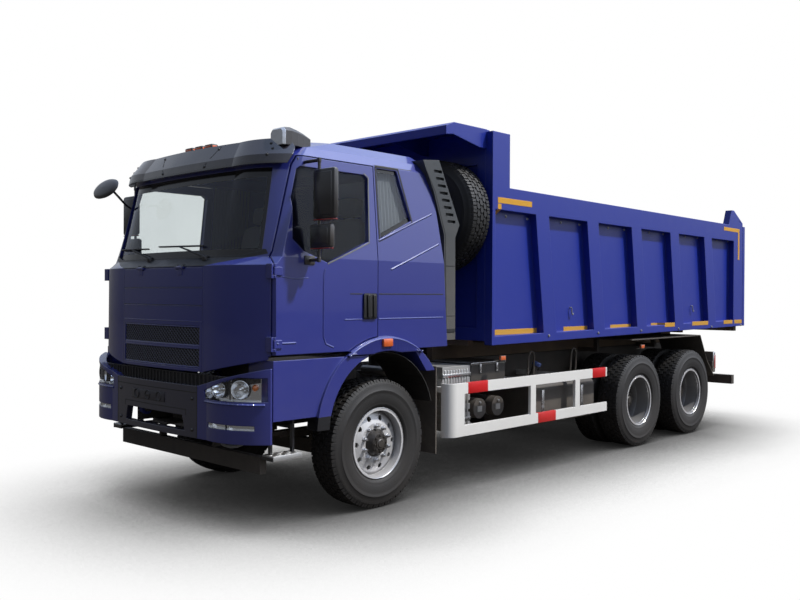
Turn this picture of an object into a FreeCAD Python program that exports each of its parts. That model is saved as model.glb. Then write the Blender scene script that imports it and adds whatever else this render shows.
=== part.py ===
import FreeCAD, Part
import math
import os

# Three-axle tipper truck, in millimetres. X points forward, Y to the truck's left and Z up.
# Stations along X are measured from the front axle, and the finished model is moved so that
# its origin lies on the ground under the middle of the overall length.

# Overall stations
front_reach = 1450
wheelbase = 4300
tandem_spacing = 1350

# Tyres and wheels
tyre_radius = 542
tyre_width = 296
tread_width = 244
bead_radius = 286
bead_width = 228
rim_flange_radius = 300
rim_thickness = 12
front_wheel_y = 1020
rear_outer_wheel_y = 1092
twin_spacing = 336
hub_radius = 118
hub_bore = 46
front_disc_offset = 84
hand_hole_count = 10
hand_hole_radius = 24
hand_hole_circle = 212
hand_hole_sides = 6
spin_clearance = 0.5
seat_gap = 0.3

# Ladder frame
rail_outer_y = 430
rail_low_z = 700
rail_height = 280
rail_flange = 80
rail_plate = 12
frame_front_x = 1150
frame_overhang = 1070
first_member_x = 900
second_member_x = -1500
subframe_front_x = -1620
subframe_height = 140
cross_member_size = 90

# Front axle and steering
beam_half_height = 60
beam_half_width = 45
beam_drop = 120
kingpin_y = 860
kingpin_radius = 22
knuckle_gap = 6
steer_boss_height = 170
spindle_reach = 1112

# Drive line
drive_bowl_radius = 205
drive_nose_reach = 360
drive_line_rise = 40
shaft_radius = 48
gearbox_output_z = 640

# Springs
spring_width = 90
front_spring_half_length = 760
rear_spring_half_length = 620

# Cab
cab_low_z = 1188
cab_side_low_z = 1332
cab_corner_low_z = 1317
cab_belt_z = 2008
cab_cowl_z = 2070
cab_brow_z = 2855
cab_eave_z = 2930
cab_roof_z = 3015
cab_half_width = 1240
cab_brow_half_width = 1172
cab_eave_half_width = 1122
cab_roof_half_width = 1010
cab_front_x = 1412
cab_front_lean = 22
cab_front_bow = 32
cab_belt_bow = 20
cab_cowl_setback = 112
cab_brow_setback = 300
cab_eave_setback = 382
cab_roof_setback = 592
cab_shoulder_y = 620
cab_rear_x = -770
firewall_setback = 150
firewall_thickness = 40
cab_wall = 60
cab_floor_z = 1390
cab_floor_thickness = 60
panel_gap = 7
tilt_pivot_x = 1320
tilt_pivot_z = 820
tilt_arm_head_x = 840
tilt_arm_tail_x = 650
tilt_arm_y = 330
tilt_arm_width = 40
tilt_pin_radius = 24
tilt_eye_radius = 50

# Wheel arch
arch_x = 40
arch_z = 700
arch_inner_radius = 622
arch_outer_radius = 745
arch_lip = 24
arch_depth = 240

# Sun visor
visor_depth = 60
visor_low_z = 2782
visor_top_z = 2989

# Doors
door_front_x = 1190
door_rear_x = 112
door_shoulder_z = 1990
door_pillar_foot_x = 1140
door_pillar_foot_z = 2110
door_pillar_head_x = 945
door_pillar_head_z = 2782
door_top_z = 2852
door_top_front_x = 905
door_thickness = 50
dash_half_width = 1085
glass_thickness = 8
glass_inset = 18
hinge_pin_radius = 7
hinge_eye_radius = 13
hinge_stand_off = 6
hinge_height = 60
door_hinge_low_z = 1420
door_hinge_high_z = 1960
panel_hinge_y = 300

# Front panel and grille
panel_half_width = 600
panel_top_z = 2000
grille_top_z = 1541
grille_low_z = 1215
grille_half_width = 566
grille_bar = 13
grille_pitch = 62

# Bumper
bumper_low_z = 684
bumper_side_top_z = 1244
bumper_mid_top_z = 1085
bumper_flat_y = 600
bumper_rear_x = 1200
bumper_wall = 55
bumper_beam_depth = 45
bumper_beam_low_z = 690
bumper_beam_top_z = 716
tow_pin_x = 1340
tow_pin_z = 792
tow_pin_radius = 20
tow_jaw_gap = 80
tow_jaw_plate = 18
tow_jaw_half_width = 110
tow_jaw_reach_z = 78
bumper_arm_y = 250
bumper_arm_width = 60
tail_lamp_back = 730
under_bar_half = 1200
rear_bar_back = 1410

# Entry steps
entry_low_z = 850
entry_top_z = 1298

# Mirrors
mirror_x = 880
mirror_inner_y = 1300
mirror_outer_y = 1552
small_mirror_inner_y = 1262
small_mirror_outer_y = 1510
mirror_depth = 60
mirror_arm_high_z = 2800
mirror_arm_low_z = 2050

# Load body
bed_front_x = -1410
bed_overhang = 1580
bed_half_width = 1240
bed_low_z = 1312
bed_sill_rise = 52
bed_floor_low_z = 1350
bed_rail_front_z = 2830
bed_rail_rear_z = 2780
bed_rail_height = 220
bed_sill_height = 85
bed_wall_depth = 88
bed_plate = 10
bed_rib_count = 5
bed_rib_width = 230
bed_rib_rake = 150
bed_first_bay = 860
bed_last_bay = 570
front_post_width = 45
rear_post_width = 300
side_peak_length = 270
side_peak_z = 3348
rear_peak_z = 2990
rear_peak_drop_z = 2825
headboard_top_z = 3370
headboard_thickness = 60
canopy_half_width = 1164
canopy_front_x = -820
canopy_front_z = 3327
canopy_bevel = 110
canopy_lip = 80
canopy_plate = 12
bearer_count = 9
bearer_height = 60
bearer_half_width = 35
bearer_reach = 900
floor_plate = 20
bed_beam_y = 390
bed_beam_width = 80
bed_rest_gap = 6

# Body hinge and tailgate
bed_hinge_back = 970
bed_hinge_z = 1060
bed_pin_radius = 30
hinge_cheek = 18
gate_thickness = 70
gate_gap = 10
gate_pin_inset = 100
gate_pin_z = 2840
gate_pin_radius = 18

# Hoist
hoist_x = -1120
hoist_base_z = 870
hoist_collar_z = 1500
hoist_top_z = 3060
hoist_low_z = 975
hoist_rod_rise = 75
hoist_outer_radius = 98
hoist_wall = 9
hoist_clearance = 0.5
hoist_stages = 3
hoist_pin_radius = 25

# Side equipment
guard_y = 1232
guard_thickness = 30
guard_rail_height = 100
guard_upper_z = 932
guard_lower_z = 543
guard_front_x = -810
guard_rear_ahead = 770
guard_corner = 100
guard_return = 105
guard_plate_length = 210
tank_outer_y = 1110
tank_inner_y = 500
tank_top_z = 870
tank_low_z = 430
tank_rear_ahead = 850
battery_front_x = -1321
battery_length = 534
battery_low_z = 946
battery_top_z = 1133
air_tank_radius = 97
air_tank_z = 688
mudguard_plate = 8
mudguard_top_z = 1262
mudguard_inner_y = 620
silencer_front_x = -905
silencer_length = 401
snorkel_inner_y = 985
snorkel_outer_y = 1215
louvre_count = 8
louvre_pitch = 62
louvre_height = 26
louvre_low_z = 2436
pipe_radius = 46
pipe_bend = 90
pipe_y = 780
pipe_z = 1050
pipe_end_y = 120

# Spare wheel
spare_x = -1252
spare_y = 700
spare_z = 2550

# Derived stations
middle_axle_x = -wheelbase
rear_axle_x = -wheelbase - tandem_spacing
frame_rear_x = rear_axle_x - frame_overhang
bed_rear_x = rear_axle_x - bed_overhang
bed_hinge_x = rear_axle_x - bed_hinge_back
gate_pin_x = bed_rear_x + gate_pin_inset
gate_low_z = bed_low_z + bed_sill_rise
tail_lamp_x = rear_axle_x - tail_lamp_back
rear_bar_x = rear_axle_x - rear_bar_back
guard_rear_x = middle_axle_x + guard_rear_ahead
tank_rear_x = middle_axle_x + tank_rear_ahead
rear_reach = gate_gap + gate_thickness - bed_rear_x
rail_top_z = rail_low_z + rail_height
subframe_top_z = rail_top_z + subframe_height
rear_inner_wheel_y = rear_outer_wheel_y - twin_spacing
bed_inner_y = bed_half_width - bed_wall_depth
bed_floor_top_z = bed_floor_low_z + floor_plate
origin_shift = (rear_reach - front_reach) / 2.0


def point(x, y, z):
    return FreeCAD.Vector(x, y, z)


def box(x0, x1, y0, y1, z0, z1):
    return Part.makeBox(x1 - x0, y1 - y0, z1 - z0, point(x0, y0, z0))


def polygon_face(corners):
    return Part.Face(Part.makePolygon(corners + [corners[0]]))


def prism_y(outline, y0, y1):
    """Solid from an outline of (x, z) corners, running from y0 to y1."""
    face = polygon_face([point(x, y0, z) for x, z in outline])
    return face.extrude(point(0, y1 - y0, 0))


def prism_x(outline, x0, x1):
    """Solid from an outline of (y, z) corners, running from x0 to x1."""
    face = polygon_face([point(x0, y, z) for y, z in outline])
    return face.extrude(point(x1 - x0, 0, 0))


def cylinder_x(x0, x1, y, z, radius):
    return Part.makeCylinder(radius, x1 - x0, point(x0, y, z), point(1, 0, 0))


def cylinder_y(x, y0, y1, z, radius):
    return Part.makeCylinder(radius, y1 - y0, point(x, y0, z), point(0, 1, 0))


def cylinder_z(x, y, z0, z1, radius):
    return Part.makeCylinder(radius, z1 - z0, point(x, y, z0), point(0, 0, 1))


def turned(profile):
    """Solid of revolution about the Y axis from (radius, y) corners."""
    face = polygon_face([point(radius, y, 0) for radius, y in profile])
    return face.revolve(point(0, 0, 0), point(0, 1, 0), 360)


def joined(shapes):
    whole = shapes[0]
    if len(shapes) > 1:
        whole = whole.fuse(shapes[1:])
    return whole.removeSplitter()


def moved(shape, x, y, z):
    copy = shape.copy()
    copy.translate(point(x, y, z))
    return copy


def mirrored(shape):
    return shape.mirror(point(0, 0, 0), point(0, 1, 0))


def both_sides(shape):
    return [shape, mirrored(shape)]


def save(name, shapes):
    solids = [solid for shape in shapes for solid in shape.Solids]
    whole = Part.makeCompound(solids)
    whole.translate(point(origin_shift, 0, 0))
    whole.exportStep("parts/" + name + ".step")


# Wheels

def tyre():
    """Tyre centred on the origin with its axis along Y."""
    half = tyre_width / 2.0
    tread = tread_width / 2.0
    bead = bead_width / 2.0
    wide_radius = (tyre_radius + bead_radius) / 2.0 + 6
    shoulder = tyre_radius - 26
    corners = [
        (bead_radius + seat_gap, -bead + seat_gap),
        (rim_flange_radius + seat_gap, -bead + seat_gap),
        (rim_flange_radius + 8, -bead - 14),
        (wide_radius, -half),
        (shoulder, -tread - 10),
        (tyre_radius - 5, -tread + 4),
        (tyre_radius, 0),
        (tyre_radius - 5, tread - 4),
        (shoulder, tread + 10),
        (wide_radius, half),
        (rim_flange_radius + 8, bead + 14),
        (rim_flange_radius + seat_gap, bead - seat_gap),
        (bead_radius + seat_gap, bead - seat_gap),
    ]
    return turned(corners)


def rim_barrel(y):
    """Rolled rim with its two flanges, centred at the given y."""
    half = bead_width / 2.0
    inner = bead_radius - rim_thickness
    corners = [
        (bead_radius, y - half),
        (rim_flange_radius, y - half),
        (rim_flange_radius, y - half - 10),
        (inner, y - half - 10),
        (inner, y + half + 10),
        (rim_flange_radius, y + half + 10),
        (rim_flange_radius, y + half),
        (bead_radius, y + half),
    ]
    return turned(corners)


def hand_holes(y0, y1):
    holes = []
    for index in range(hand_hole_count):
        angle = 2 * math.pi * index / hand_hole_count
        x = hand_hole_circle * math.cos(angle)
        z = hand_hole_circle * math.sin(angle)
        corners = []
        for corner in range(hand_hole_sides):
            turn = angle + 2 * math.pi * corner / hand_hole_sides
            corners.append((x + hand_hole_radius * math.cos(turn), z + hand_hole_radius * math.sin(turn)))
        holes.append(prism_y(corners, y0, y1))
    return holes


def front_rim(bore):
    """Front wheel: the disc bulges outwards and carries the hub, whose bore runs on the spindle."""
    inner = bead_radius - rim_thickness / 2.0
    face_y = front_disc_offset
    disc = turned([
        (bore, face_y - 14), (hub_radius + 40, face_y - 14), (hand_hole_circle + 26, face_y - 40),
        (inner, face_y - 52), (inner, face_y - 38), (hand_hole_circle + 32, face_y - 24),
        (hub_radius + 46, face_y), (bore, face_y)])
    hub = turned([
        (bore, -40), (hub_radius, -40), (hub_radius, face_y - 6), (hub_radius - 34, face_y + 52),
        (0, face_y + 60), (0, face_y + 46), (bore, face_y + 36)])
    disc = disc.cut(hand_holes(face_y - 80, face_y + 20))
    return joined([rim_barrel(0), disc, hub])


def twin_rim():
    """Pair of dished rims bolted back to back on one hub, centred between the two tyres."""
    inner = bead_radius - rim_thickness / 2.0
    half_spacing = twin_spacing / 2.0
    bore = hub_bore + spin_clearance
    outer_dish = [
        (hub_radius + 56, 14), (hand_hole_circle + 29, 36), (inner, half_spacing - 44),
        (inner, half_spacing - 60), (hand_hole_circle + 35, 20)]
    inner_dish = [(radius, -y) for radius, y in reversed(outer_dish)]
    centre = turned([
        (bore, 120), (0, 130), (0, 156), (hub_radius - 30, 150), (hub_radius, 110), (hub_radius, 20)]
        + outer_dish + [(hub_radius + 60, 0)] + inner_dish
        + [(hub_radius + 20, -14), (hub_radius + 20, -150), (bore, -150)])
    centre = centre.cut(hand_holes(-90, 90))
    return joined([centre, rim_barrel(half_spacing), rim_barrel(-half_spacing)])


def make_wheels():
    spindle_bore = hub_bore + spin_clearance
    rim = front_rim(spindle_bore)
    left_tyre = moved(tyre(), 0, front_wheel_y, tyre_radius)
    left_rim = moved(rim, 0, front_wheel_y, tyre_radius)
    save("front_left_tyre", [left_tyre])
    save("front_left_rim", [left_rim])
    save("front_right_tyre", [mirrored(left_tyre)])
    save("front_right_rim", [mirrored(left_rim)])
    middle_y = (rear_outer_wheel_y + rear_inner_wheel_y) / 2.0
    for name, axle_x in (("middle", middle_axle_x), ("rear", rear_axle_x)):
        pair = [moved(tyre(), axle_x, y, tyre_radius) for y in (rear_outer_wheel_y, rear_inner_wheel_y)]
        rims = moved(twin_rim(), axle_x, middle_y, tyre_radius)
        save(name + "_left_tyres", pair)
        save(name + "_left_rims", [rims])
        save(name + "_right_tyres", [mirrored(shape) for shape in pair])
        save(name + "_right_rims", [mirrored(rims)])


def make_spare_wheel():
    """Spare wheel upright behind the cab, with its axis along X."""
    pieces = [tyre(), front_rim(hub_bore)]
    placed = []
    for shape in pieces:
        shape.rotate(point(0, 0, 0), point(0, 0, 1), -90)
        placed.append(moved(shape, spare_x, spare_y, spare_z))
    save("spare_wheel", placed)


# Chassis

def frame_rail():
    """Left C-section rail, open towards the middle of the truck."""
    web = box(frame_rear_x, frame_front_x, rail_outer_y - rail_plate, rail_outer_y, rail_low_z, rail_top_z)
    flanges = []
    for z0 in (rail_low_z, rail_top_z - rail_plate):
        flanges.append(box(frame_rear_x, frame_front_x, rail_outer_y - rail_flange,
                           rail_outer_y - rail_plate, z0, z0 + rail_plate))
    return joined([web] + flanges)


def cross_member(x):
    """Round tube with end plates that sit against the webs."""
    web_y = rail_outer_y - rail_plate
    middle_z = (rail_low_z + rail_top_z) / 2.0
    tube = cylinder_y(x, -web_y, web_y, middle_z, cross_member_size / 2.0)
    plates = []
    for side in (-1, 1):
        y0 = min(side * web_y, side * (web_y - rail_plate))
        plates.append(box(x - 80, x + 80, y0, y0 + rail_plate, rail_low_z + 40, rail_top_z - 40))
    return joined([tube] + plates)


def hinge_bracket():
    """Fork on the left rail that holds the body's rear hinge pin."""
    low = rail_low_z + 60
    cheeks = []
    for y0 in (rail_outer_y, rail_outer_y - rail_flange - hinge_cheek):
        cheeks.append(prism_y([(bed_hinge_x + 120, low), (bed_hinge_x - 70, low),
                               (bed_hinge_x - 45, bed_hinge_z + 40), (bed_hinge_x + 45, bed_hinge_z + 40)],
                              y0, y0 + hinge_cheek))
    pin = cylinder_y(bed_hinge_x, rail_outer_y - rail_flange - hinge_cheek - 6,
                     rail_outer_y + hinge_cheek + 6, bed_hinge_z, bed_pin_radius)
    return cheeks + [pin]


def spare_carrier():
    """Posts on the left rail and an arm behind the cab that hold the spare wheel by its disc."""
    post_x = spare_x + 205
    post_y = rail_outer_y - rail_flange
    post = box(post_x, post_x + 60, post_y, rail_outer_y, rail_top_z - 5, spare_z + 60)
    arms = []
    for z in (spare_z - 60, spare_z - 620):
        arms.append(box(post_x, post_x + 60, post_y, spare_y + 120, z, z + 70))
    tie = box(post_x, post_x + 60, spare_y + 50, spare_y + 120, spare_z - 620, spare_z)
    disc_x = spare_x + front_disc_offset
    boss = cylinder_x(disc_x + 60 + seat_gap, post_x + 10, spare_y, spare_z, 40)
    return [joined([post, tie, boss] + arms)]


def make_chassis():
    rail = frame_rail()
    last_free_x = middle_axle_x + 800
    stations = (first_member_x, second_member_x, (second_member_x + last_free_x) / 2.0, last_free_x,
                (middle_axle_x + rear_axle_x) / 2.0, frame_rear_x + 220)
    members = [cross_member(x) for x in stations]
    subframe = box(bed_hinge_x + 130, subframe_front_x, rail_outer_y - rail_flange, rail_outer_y,
                   rail_top_z, subframe_top_z)
    hinge = hinge_bracket()
    hoist_beam = box(hoist_x - 60, hoist_x + 60, -rail_outer_y + rail_plate, rail_outer_y - rail_plate,
                     hoist_base_z - 130, hoist_base_z - 82)
    hoist_lugs = []
    for y in (-62, 44):
        hoist_lugs.append(box(hoist_x - 50, hoist_x + 50, y, y + 18, hoist_base_z - 84, hoist_base_z + 40))
    hoist_pin = cylinder_y(hoist_x, -66, 66, hoist_base_z, hoist_pin_radius)
    pivot_bracket = box(tilt_pivot_x - 90, tilt_pivot_x + 40, tilt_arm_y + 48, tilt_arm_y + 68,
                        rail_low_z + 20, tilt_pivot_z + 50)
    pivot_pin = cylinder_y(tilt_pivot_x, tilt_arm_y - 50, tilt_arm_y + 60, tilt_pivot_z, tilt_pin_radius)
    link = box(frame_front_x - 60, tilt_pivot_x - 60, tilt_arm_y + 48, rail_outer_y,
               rail_low_z + 20, tilt_pivot_z + 50)
    left = [rail, subframe] + hinge + [pivot_bracket, pivot_pin, link]
    pieces = left + [mirrored(shape) for shape in left]
    pieces += members + [hoist_beam] + hoist_lugs + [hoist_pin] + spare_carrier()
    save("chassis_frame", [joined(pieces)])


def make_axles():
    """Dropped front beam with kingpin eyes, and two drive axle housings."""
    half_height = beam_half_height
    upper = tyre_radius + half_height
    middle = upper - beam_drop
    beam = prism_x([
        (-kingpin_y, upper), (-700, upper), (-520, middle), (520, middle), (700, upper),
        (kingpin_y, upper), (kingpin_y, upper - 2 * half_height), (700, upper - 2 * half_height),
        (520, middle - 2 * half_height), (-520, middle - 2 * half_height),
        (-700, upper - 2 * half_height), (-kingpin_y, upper - 2 * half_height)],
        -beam_half_width, beam_half_width)
    front = [beam]
    bore = []
    for y in (-kingpin_y, kingpin_y):
        front.append(cylinder_z(0, y, tyre_radius - steer_boss_height / 2.0,
                                tyre_radius + steer_boss_height / 2.0, 52))
        bore.append(cylinder_z(0, y, tyre_radius - 200, tyre_radius + 200,
                               kingpin_radius + spin_clearance))
    shapes = [joined(front).cut(bore)]
    tube_end = rear_inner_wheel_y - 118
    for axle_x in (middle_axle_x, rear_axle_x):
        tube = cylinder_y(axle_x, -tube_end, tube_end, tyre_radius, 70)
        stub = cylinder_y(axle_x, -(rear_outer_wheel_y - 60), rear_outer_wheel_y - 60,
                          tyre_radius, hub_bore)
        bowl = Part.makeSphere(drive_bowl_radius, point(axle_x, 0, tyre_radius))
        nose = Part.makeCone(110, 66, drive_nose_reach - 120,
                             point(axle_x + 120, 0, tyre_radius + drive_line_rise), point(1, 0, 0))
        shapes.append(joined([tube, stub, bowl, nose]))
    save("axles", shapes)


def make_knuckles():
    """Steering knuckle: yoke round the beam's eye, kingpin and spindle."""
    half_boss = steer_boss_height / 2.0
    outer = kingpin_y + 66
    arm = 34
    top = tyre_radius + half_boss + knuckle_gap
    low = tyre_radius - half_boss - knuckle_gap
    yoke = prism_x([
        (kingpin_y - 46, top), (kingpin_y - 46, top + arm), (outer + 26, top + arm),
        (outer + 26, low - arm), (kingpin_y - 46, low - arm), (kingpin_y - 46, low),
        (outer, low), (outer, top)], -56, 56)
    pin = cylinder_z(0, kingpin_y, low - 10, top + 10, kingpin_radius)
    spindle = cylinder_y(0, outer + 10, spindle_reach, tyre_radius, hub_bore)
    left = joined([yoke, pin, spindle])
    save("knuckle_left", [left])
    save("knuckle_right", [mirrored(left)])


def leaf_pack(x, y, low_z, half_length, leaves, leaf_height):
    """Stack of leaves that get shorter towards the bottom, with an eye at each end."""
    shapes = []
    for index in range(leaves):
        reach = half_length * (1.0 - 0.72 * index / leaves)
        z1 = low_z + leaf_height * (leaves - index)
        shapes.append(box(x - reach, x + reach, y - spring_width / 2.0, y + spring_width / 2.0,
                          z1 - leaf_height, z1))
    top = low_z + leaf_height * leaves
    for end in (-1, 1):
        shapes.append(cylinder_y(x + end * half_length, y - spring_width / 2.0, y + spring_width / 2.0,
                                 top - leaf_height / 2.0, 28))
    return shapes, top


def make_springs():
    y = rail_outer_y - spring_width / 2.0
    axle_top = tyre_radius + beam_half_height - beam_drop
    pad = box(-90, 90, y - spring_width / 2.0, y + spring_width / 2.0, axle_top, axle_top + 60)
    leaves, top = leaf_pack(0, y, axle_top + 60, front_spring_half_length, 4, 18)
    hangers = []
    for end in (-1, 1):
        x = end * front_spring_half_length
        hangers.append(box(x - 34, x + 34, y - spring_width / 2.0, y + spring_width / 2.0,
                           top - 20, rail_low_z))
    front = joined([pad] + leaves + hangers)
    middle_x = (middle_axle_x + rear_axle_x) / 2.0
    rear_y = rail_outer_y + spring_width / 2.0 + 6
    rear_leaves, rear_top = leaf_pack(middle_x, rear_y, tyre_radius + 72, rear_spring_half_length, 5, 20)
    saddle = prism_y([(middle_x - 130, rear_top), (middle_x + 130, rear_top),
                      (middle_x + 90, rail_top_z - 60), (middle_x - 90, rail_top_z - 60)],
                     rail_outer_y, rear_y + spring_width / 2.0)
    seats = []
    for axle_x in (middle_axle_x, rear_axle_x):
        seats.append(box(axle_x - 60, axle_x + 60, rear_y - 45, rear_y + 45,
                         tyre_radius + 70.3, rear_top - 18))
    rear = joined(rear_leaves + [saddle] + seats)
    save("leaf_springs", both_sides(front) + both_sides(rear))


def make_powertrain():
    """Engine as one plain block, with its gearbox and the shafts to the drive axles."""
    engine = box(-520, 640, -310, 310, 640, 1320)
    bell = Part.makeCone(260, 170, 260, point(-520, 0, 860), point(-1, 0, 0))
    gearbox = box(-1010, -740, -190, 190, 560, 930)
    shaft_start = -1000
    shaft_end = middle_axle_x + drive_nose_reach + 2
    line_z = tyre_radius + drive_line_rise
    run = point(shaft_end - shaft_start, 0, line_z - gearbox_output_z)
    shaft = Part.makeCylinder(shaft_radius, run.Length, point(shaft_start, 0, gearbox_output_z), run)
    last = cylinder_x(rear_axle_x + drive_nose_reach + seat_gap, middle_axle_x - drive_bowl_radius - seat_gap,
                      0, line_z, shaft_radius)
    mounts = []
    for x in (420, -400):
        mounts.append(box(x - 60, x + 60, 300, rail_outer_y - rail_plate, 760, 800))
    mounts += [mirrored(mount) for mount in mounts]
    save("powertrain", [joined([engine, bell, gearbox, shaft] + mounts), last])


# Cab

def plan_wire(rear_x, half_width, corner_start_x, corner_x, shoulder_x, shoulder_y, front_x, z):
    """Closed plan outline: straight rear and sides, rounded corners and a bowed front."""
    left_rear = point(rear_x, half_width, z)
    left_side = point(corner_start_x, half_width, z)
    left_front = point(shoulder_x, shoulder_y, z)
    middle = point(front_x, 0, z)
    bend_x = 0.25 * corner_start_x + 0.5 * corner_x + 0.25 * shoulder_x
    bend_y = 0.75 * half_width + 0.25 * shoulder_y
    left_bend = point(bend_x, bend_y, z)
    flip = [point(p.x, -p.y, p.z) for p in (left_rear, left_side, left_bend, left_front)]
    right_rear, right_side, right_bend, right_front = flip
    edges = [
        Part.LineSegment(right_rear, left_rear).toShape(),
        Part.LineSegment(left_rear, left_side).toShape(),
        Part.Arc(left_side, left_bend, left_front).toShape(),
        Part.Arc(left_front, middle, right_front).toShape(),
        Part.Arc(right_front, right_bend, right_side).toShape(),
        Part.LineSegment(right_side, right_rear).toShape(),
    ]
    return Part.Wire(edges)


def cab_form(inset):
    """Whole outer form of the cab, drawn in on every side by the inset."""
    front = cab_front_x
    width = cab_half_width
    brow = cab_brow_half_width
    eave = cab_eave_half_width
    roof = cab_roof_half_width
    rear = cab_rear_x
    belt_x = front - cab_front_lean
    cowl_x = front - cab_cowl_setback
    brow_x = front - cab_brow_setback
    eave_x = front - cab_eave_setback
    roof_x = front - cab_roof_setback
    sections = [
        (rear, width, front - 247, front - 150, front - cab_front_bow, cab_shoulder_y, front, cab_low_z),
        (rear + 55, width, belt_x - 220, belt_x - 138, belt_x - cab_belt_bow, cab_shoulder_y, belt_x,
         cab_belt_z),
        (rear + 57, width, cowl_x - 190, cowl_x - 140, cowl_x - cab_belt_bow, cab_shoulder_y, cowl_x,
         cab_cowl_z),
        (rear + 170, brow, brow_x - 252, brow_x - 102, brow_x - 30, cab_shoulder_y + 20, brow_x, cab_brow_z),
        (rear + 195, eave, eave_x - 250, eave_x - 118, eave_x - 38, cab_shoulder_y - 20, eave_x,
         cab_eave_z - inset),
        (rear + 265, roof, roof_x - 400, roof_x - 168, roof_x - 48, cab_shoulder_y - 100, roof_x,
         cab_roof_z - inset),
    ]
    wires = []
    for back, half, start, corner, shoulder_x, shoulder_y, nose, z in sections:
        wires.append(plan_wire(back + inset, half - inset, start - 0.4 * inset, corner - inset,
                               shoulder_x - inset, shoulder_y - 0.5 * inset, nose - inset, z))
    return Part.makeLoft(wires, True, True)


def door_outline(gap):
    """Side view of the door, drawn in by the gap."""
    return [
        (door_front_x - gap, cab_low_z - 40), (door_front_x - gap, door_shoulder_z),
        (door_pillar_foot_x - gap, door_pillar_foot_z), (door_pillar_head_x - gap, door_pillar_head_z - gap),
        (door_top_front_x - gap, door_top_z - gap), (door_rear_x + gap, door_top_z - gap),
        (door_rear_x + gap, cab_low_z - 40)]


def door_block(gap):
    """Door region of the cab side, bounded below by the wheel arch and the cab's lower edge."""
    block = prism_y(door_outline(gap), 900, 1400)
    below = box(door_rear_x - 100, door_front_x + 100, 800, 1500, cab_low_z - 100, cab_side_low_z + gap)
    arch = cylinder_y(arch_x, 800, 1500, arch_z, arch_outer_radius + gap)
    return block.cut([below, arch])


door_window = [(918, 2745), (890, 2768), (225, 2768), (175, 2735), (206, 2222), (658, 2032),
               (905, 2120), (1006, 2206), (986, 2514)]
quarter_window = [(76, 2838), (-165, 2838), (-308, 2422), (72, 2250)]
windscreen = [(-1070, 2120), (-900, 2085), (900, 2085), (1070, 2120), (1015, 2760), (-1015, 2760)]


def door_hinge_x():
    return door_front_x - panel_gap / 2.0


def hinge_eye(x, y, z0, z1):
    return cylinder_z(x, y, z0, z1, hinge_eye_radius)


def door_hinge_on_cab(z):
    """Pin with an eye above and below the door's own eye, and the plate that holds them."""
    x = door_hinge_x()
    y = cab_half_width + hinge_stand_off
    half = hinge_height / 2.0
    pin = cylinder_z(x, y, z - half - 24, z + half + 24, hinge_pin_radius)
    eyes = [hinge_eye(x, y, z - half - 24, z - half - 1), hinge_eye(x, y, z + half + 1, z + half + 24)]
    leaf = box(x, x + 32, y - 60, y + 5, z - half - 24, z + half + 24)
    leaf = leaf.cut(cylinder_z(x, y, z - half - 1, z + half + 1, hinge_eye_radius + panel_gap))
    return joined([pin, leaf] + eyes)


def door_hinge_on_door(z):
    x = door_hinge_x()
    y = cab_half_width + hinge_stand_off
    half = hinge_height / 2.0
    eye = hinge_eye(x, y, z - half, z + half)
    leaf = box(x - 70, x, y - 10, y + 5, z - half, z + half)
    bore = cylinder_z(x, y, z - half - 5, z + half + 5, hinge_pin_radius + spin_clearance)
    return joined([eye, leaf]).cut(bore)


def hinge_notch(z, half):
    """Room round a hinge eye in the panel beside it."""
    return cylinder_z(door_hinge_x(), cab_half_width + hinge_stand_off, z - half, z + half,
                      hinge_eye_radius + panel_gap)


def panel_hinge_x():
    """Just proud of the front panel, which leans back and bows away from the middle."""
    bow = cab_belt_bow * (panel_hinge_y / float(cab_shoulder_y)) ** 2
    return cab_front_x - cab_front_lean - bow + hinge_stand_off


def panel_hinge_z():
    return panel_top_z - panel_gap / 4.0


def panel_hinge(y, on_panel):
    """Hinge of the lifting front panel: one eye between two, on a pin along Y."""
    x = panel_hinge_x()
    z = panel_hinge_z()
    half = hinge_height / 2.0
    if on_panel:
        eye = cylinder_y(x, y - half, y + half, z, hinge_eye_radius)
        leaf = box(x - 30, x, y - half, y + half, z - 60, z)
        bore = cylinder_y(x, y - half - 5, y + half + 5, z, hinge_pin_radius + spin_clearance)
        return joined([eye, leaf]).cut(bore)
    pin = cylinder_y(x, y - half - 24, y + half + 24, z, hinge_pin_radius)
    pieces = [pin]
    for y0 in (y - half - 24, y + half + 1):
        pieces.append(cylinder_y(x, y0, y0 + 23, z, hinge_eye_radius))
        pieces.append(box(x - 45, x - 8, y0, y0 + 23, z, z + 22))
    return joined(pieces)


def panel_hinge_notch(y, half):
    return cylinder_y(panel_hinge_x(), y - half, y + half, panel_hinge_z(), hinge_eye_radius + panel_gap)


def tilt_arm():
    """Arm under the cab's floor whose eye turns on the chassis' pivot pin."""
    y0 = tilt_arm_y - tilt_arm_width / 2.0
    y1 = tilt_arm_y + tilt_arm_width / 2.0
    arm = prism_y([(tilt_pivot_x - 45, tilt_pivot_z - 20), (tilt_pivot_x + 45, tilt_pivot_z + 5),
                   (tilt_arm_head_x, cab_floor_z + 20), (tilt_arm_tail_x, cab_floor_z + 20)], y0, y1)
    eye = cylinder_y(tilt_pivot_x, y0, y1, tilt_pivot_z, tilt_eye_radius)
    bore = cylinder_y(tilt_pivot_x, y0 - 10, y1 + 10, tilt_pivot_z, tilt_pin_radius + spin_clearance)
    return joined([arm, eye]).cut(bore)


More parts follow.
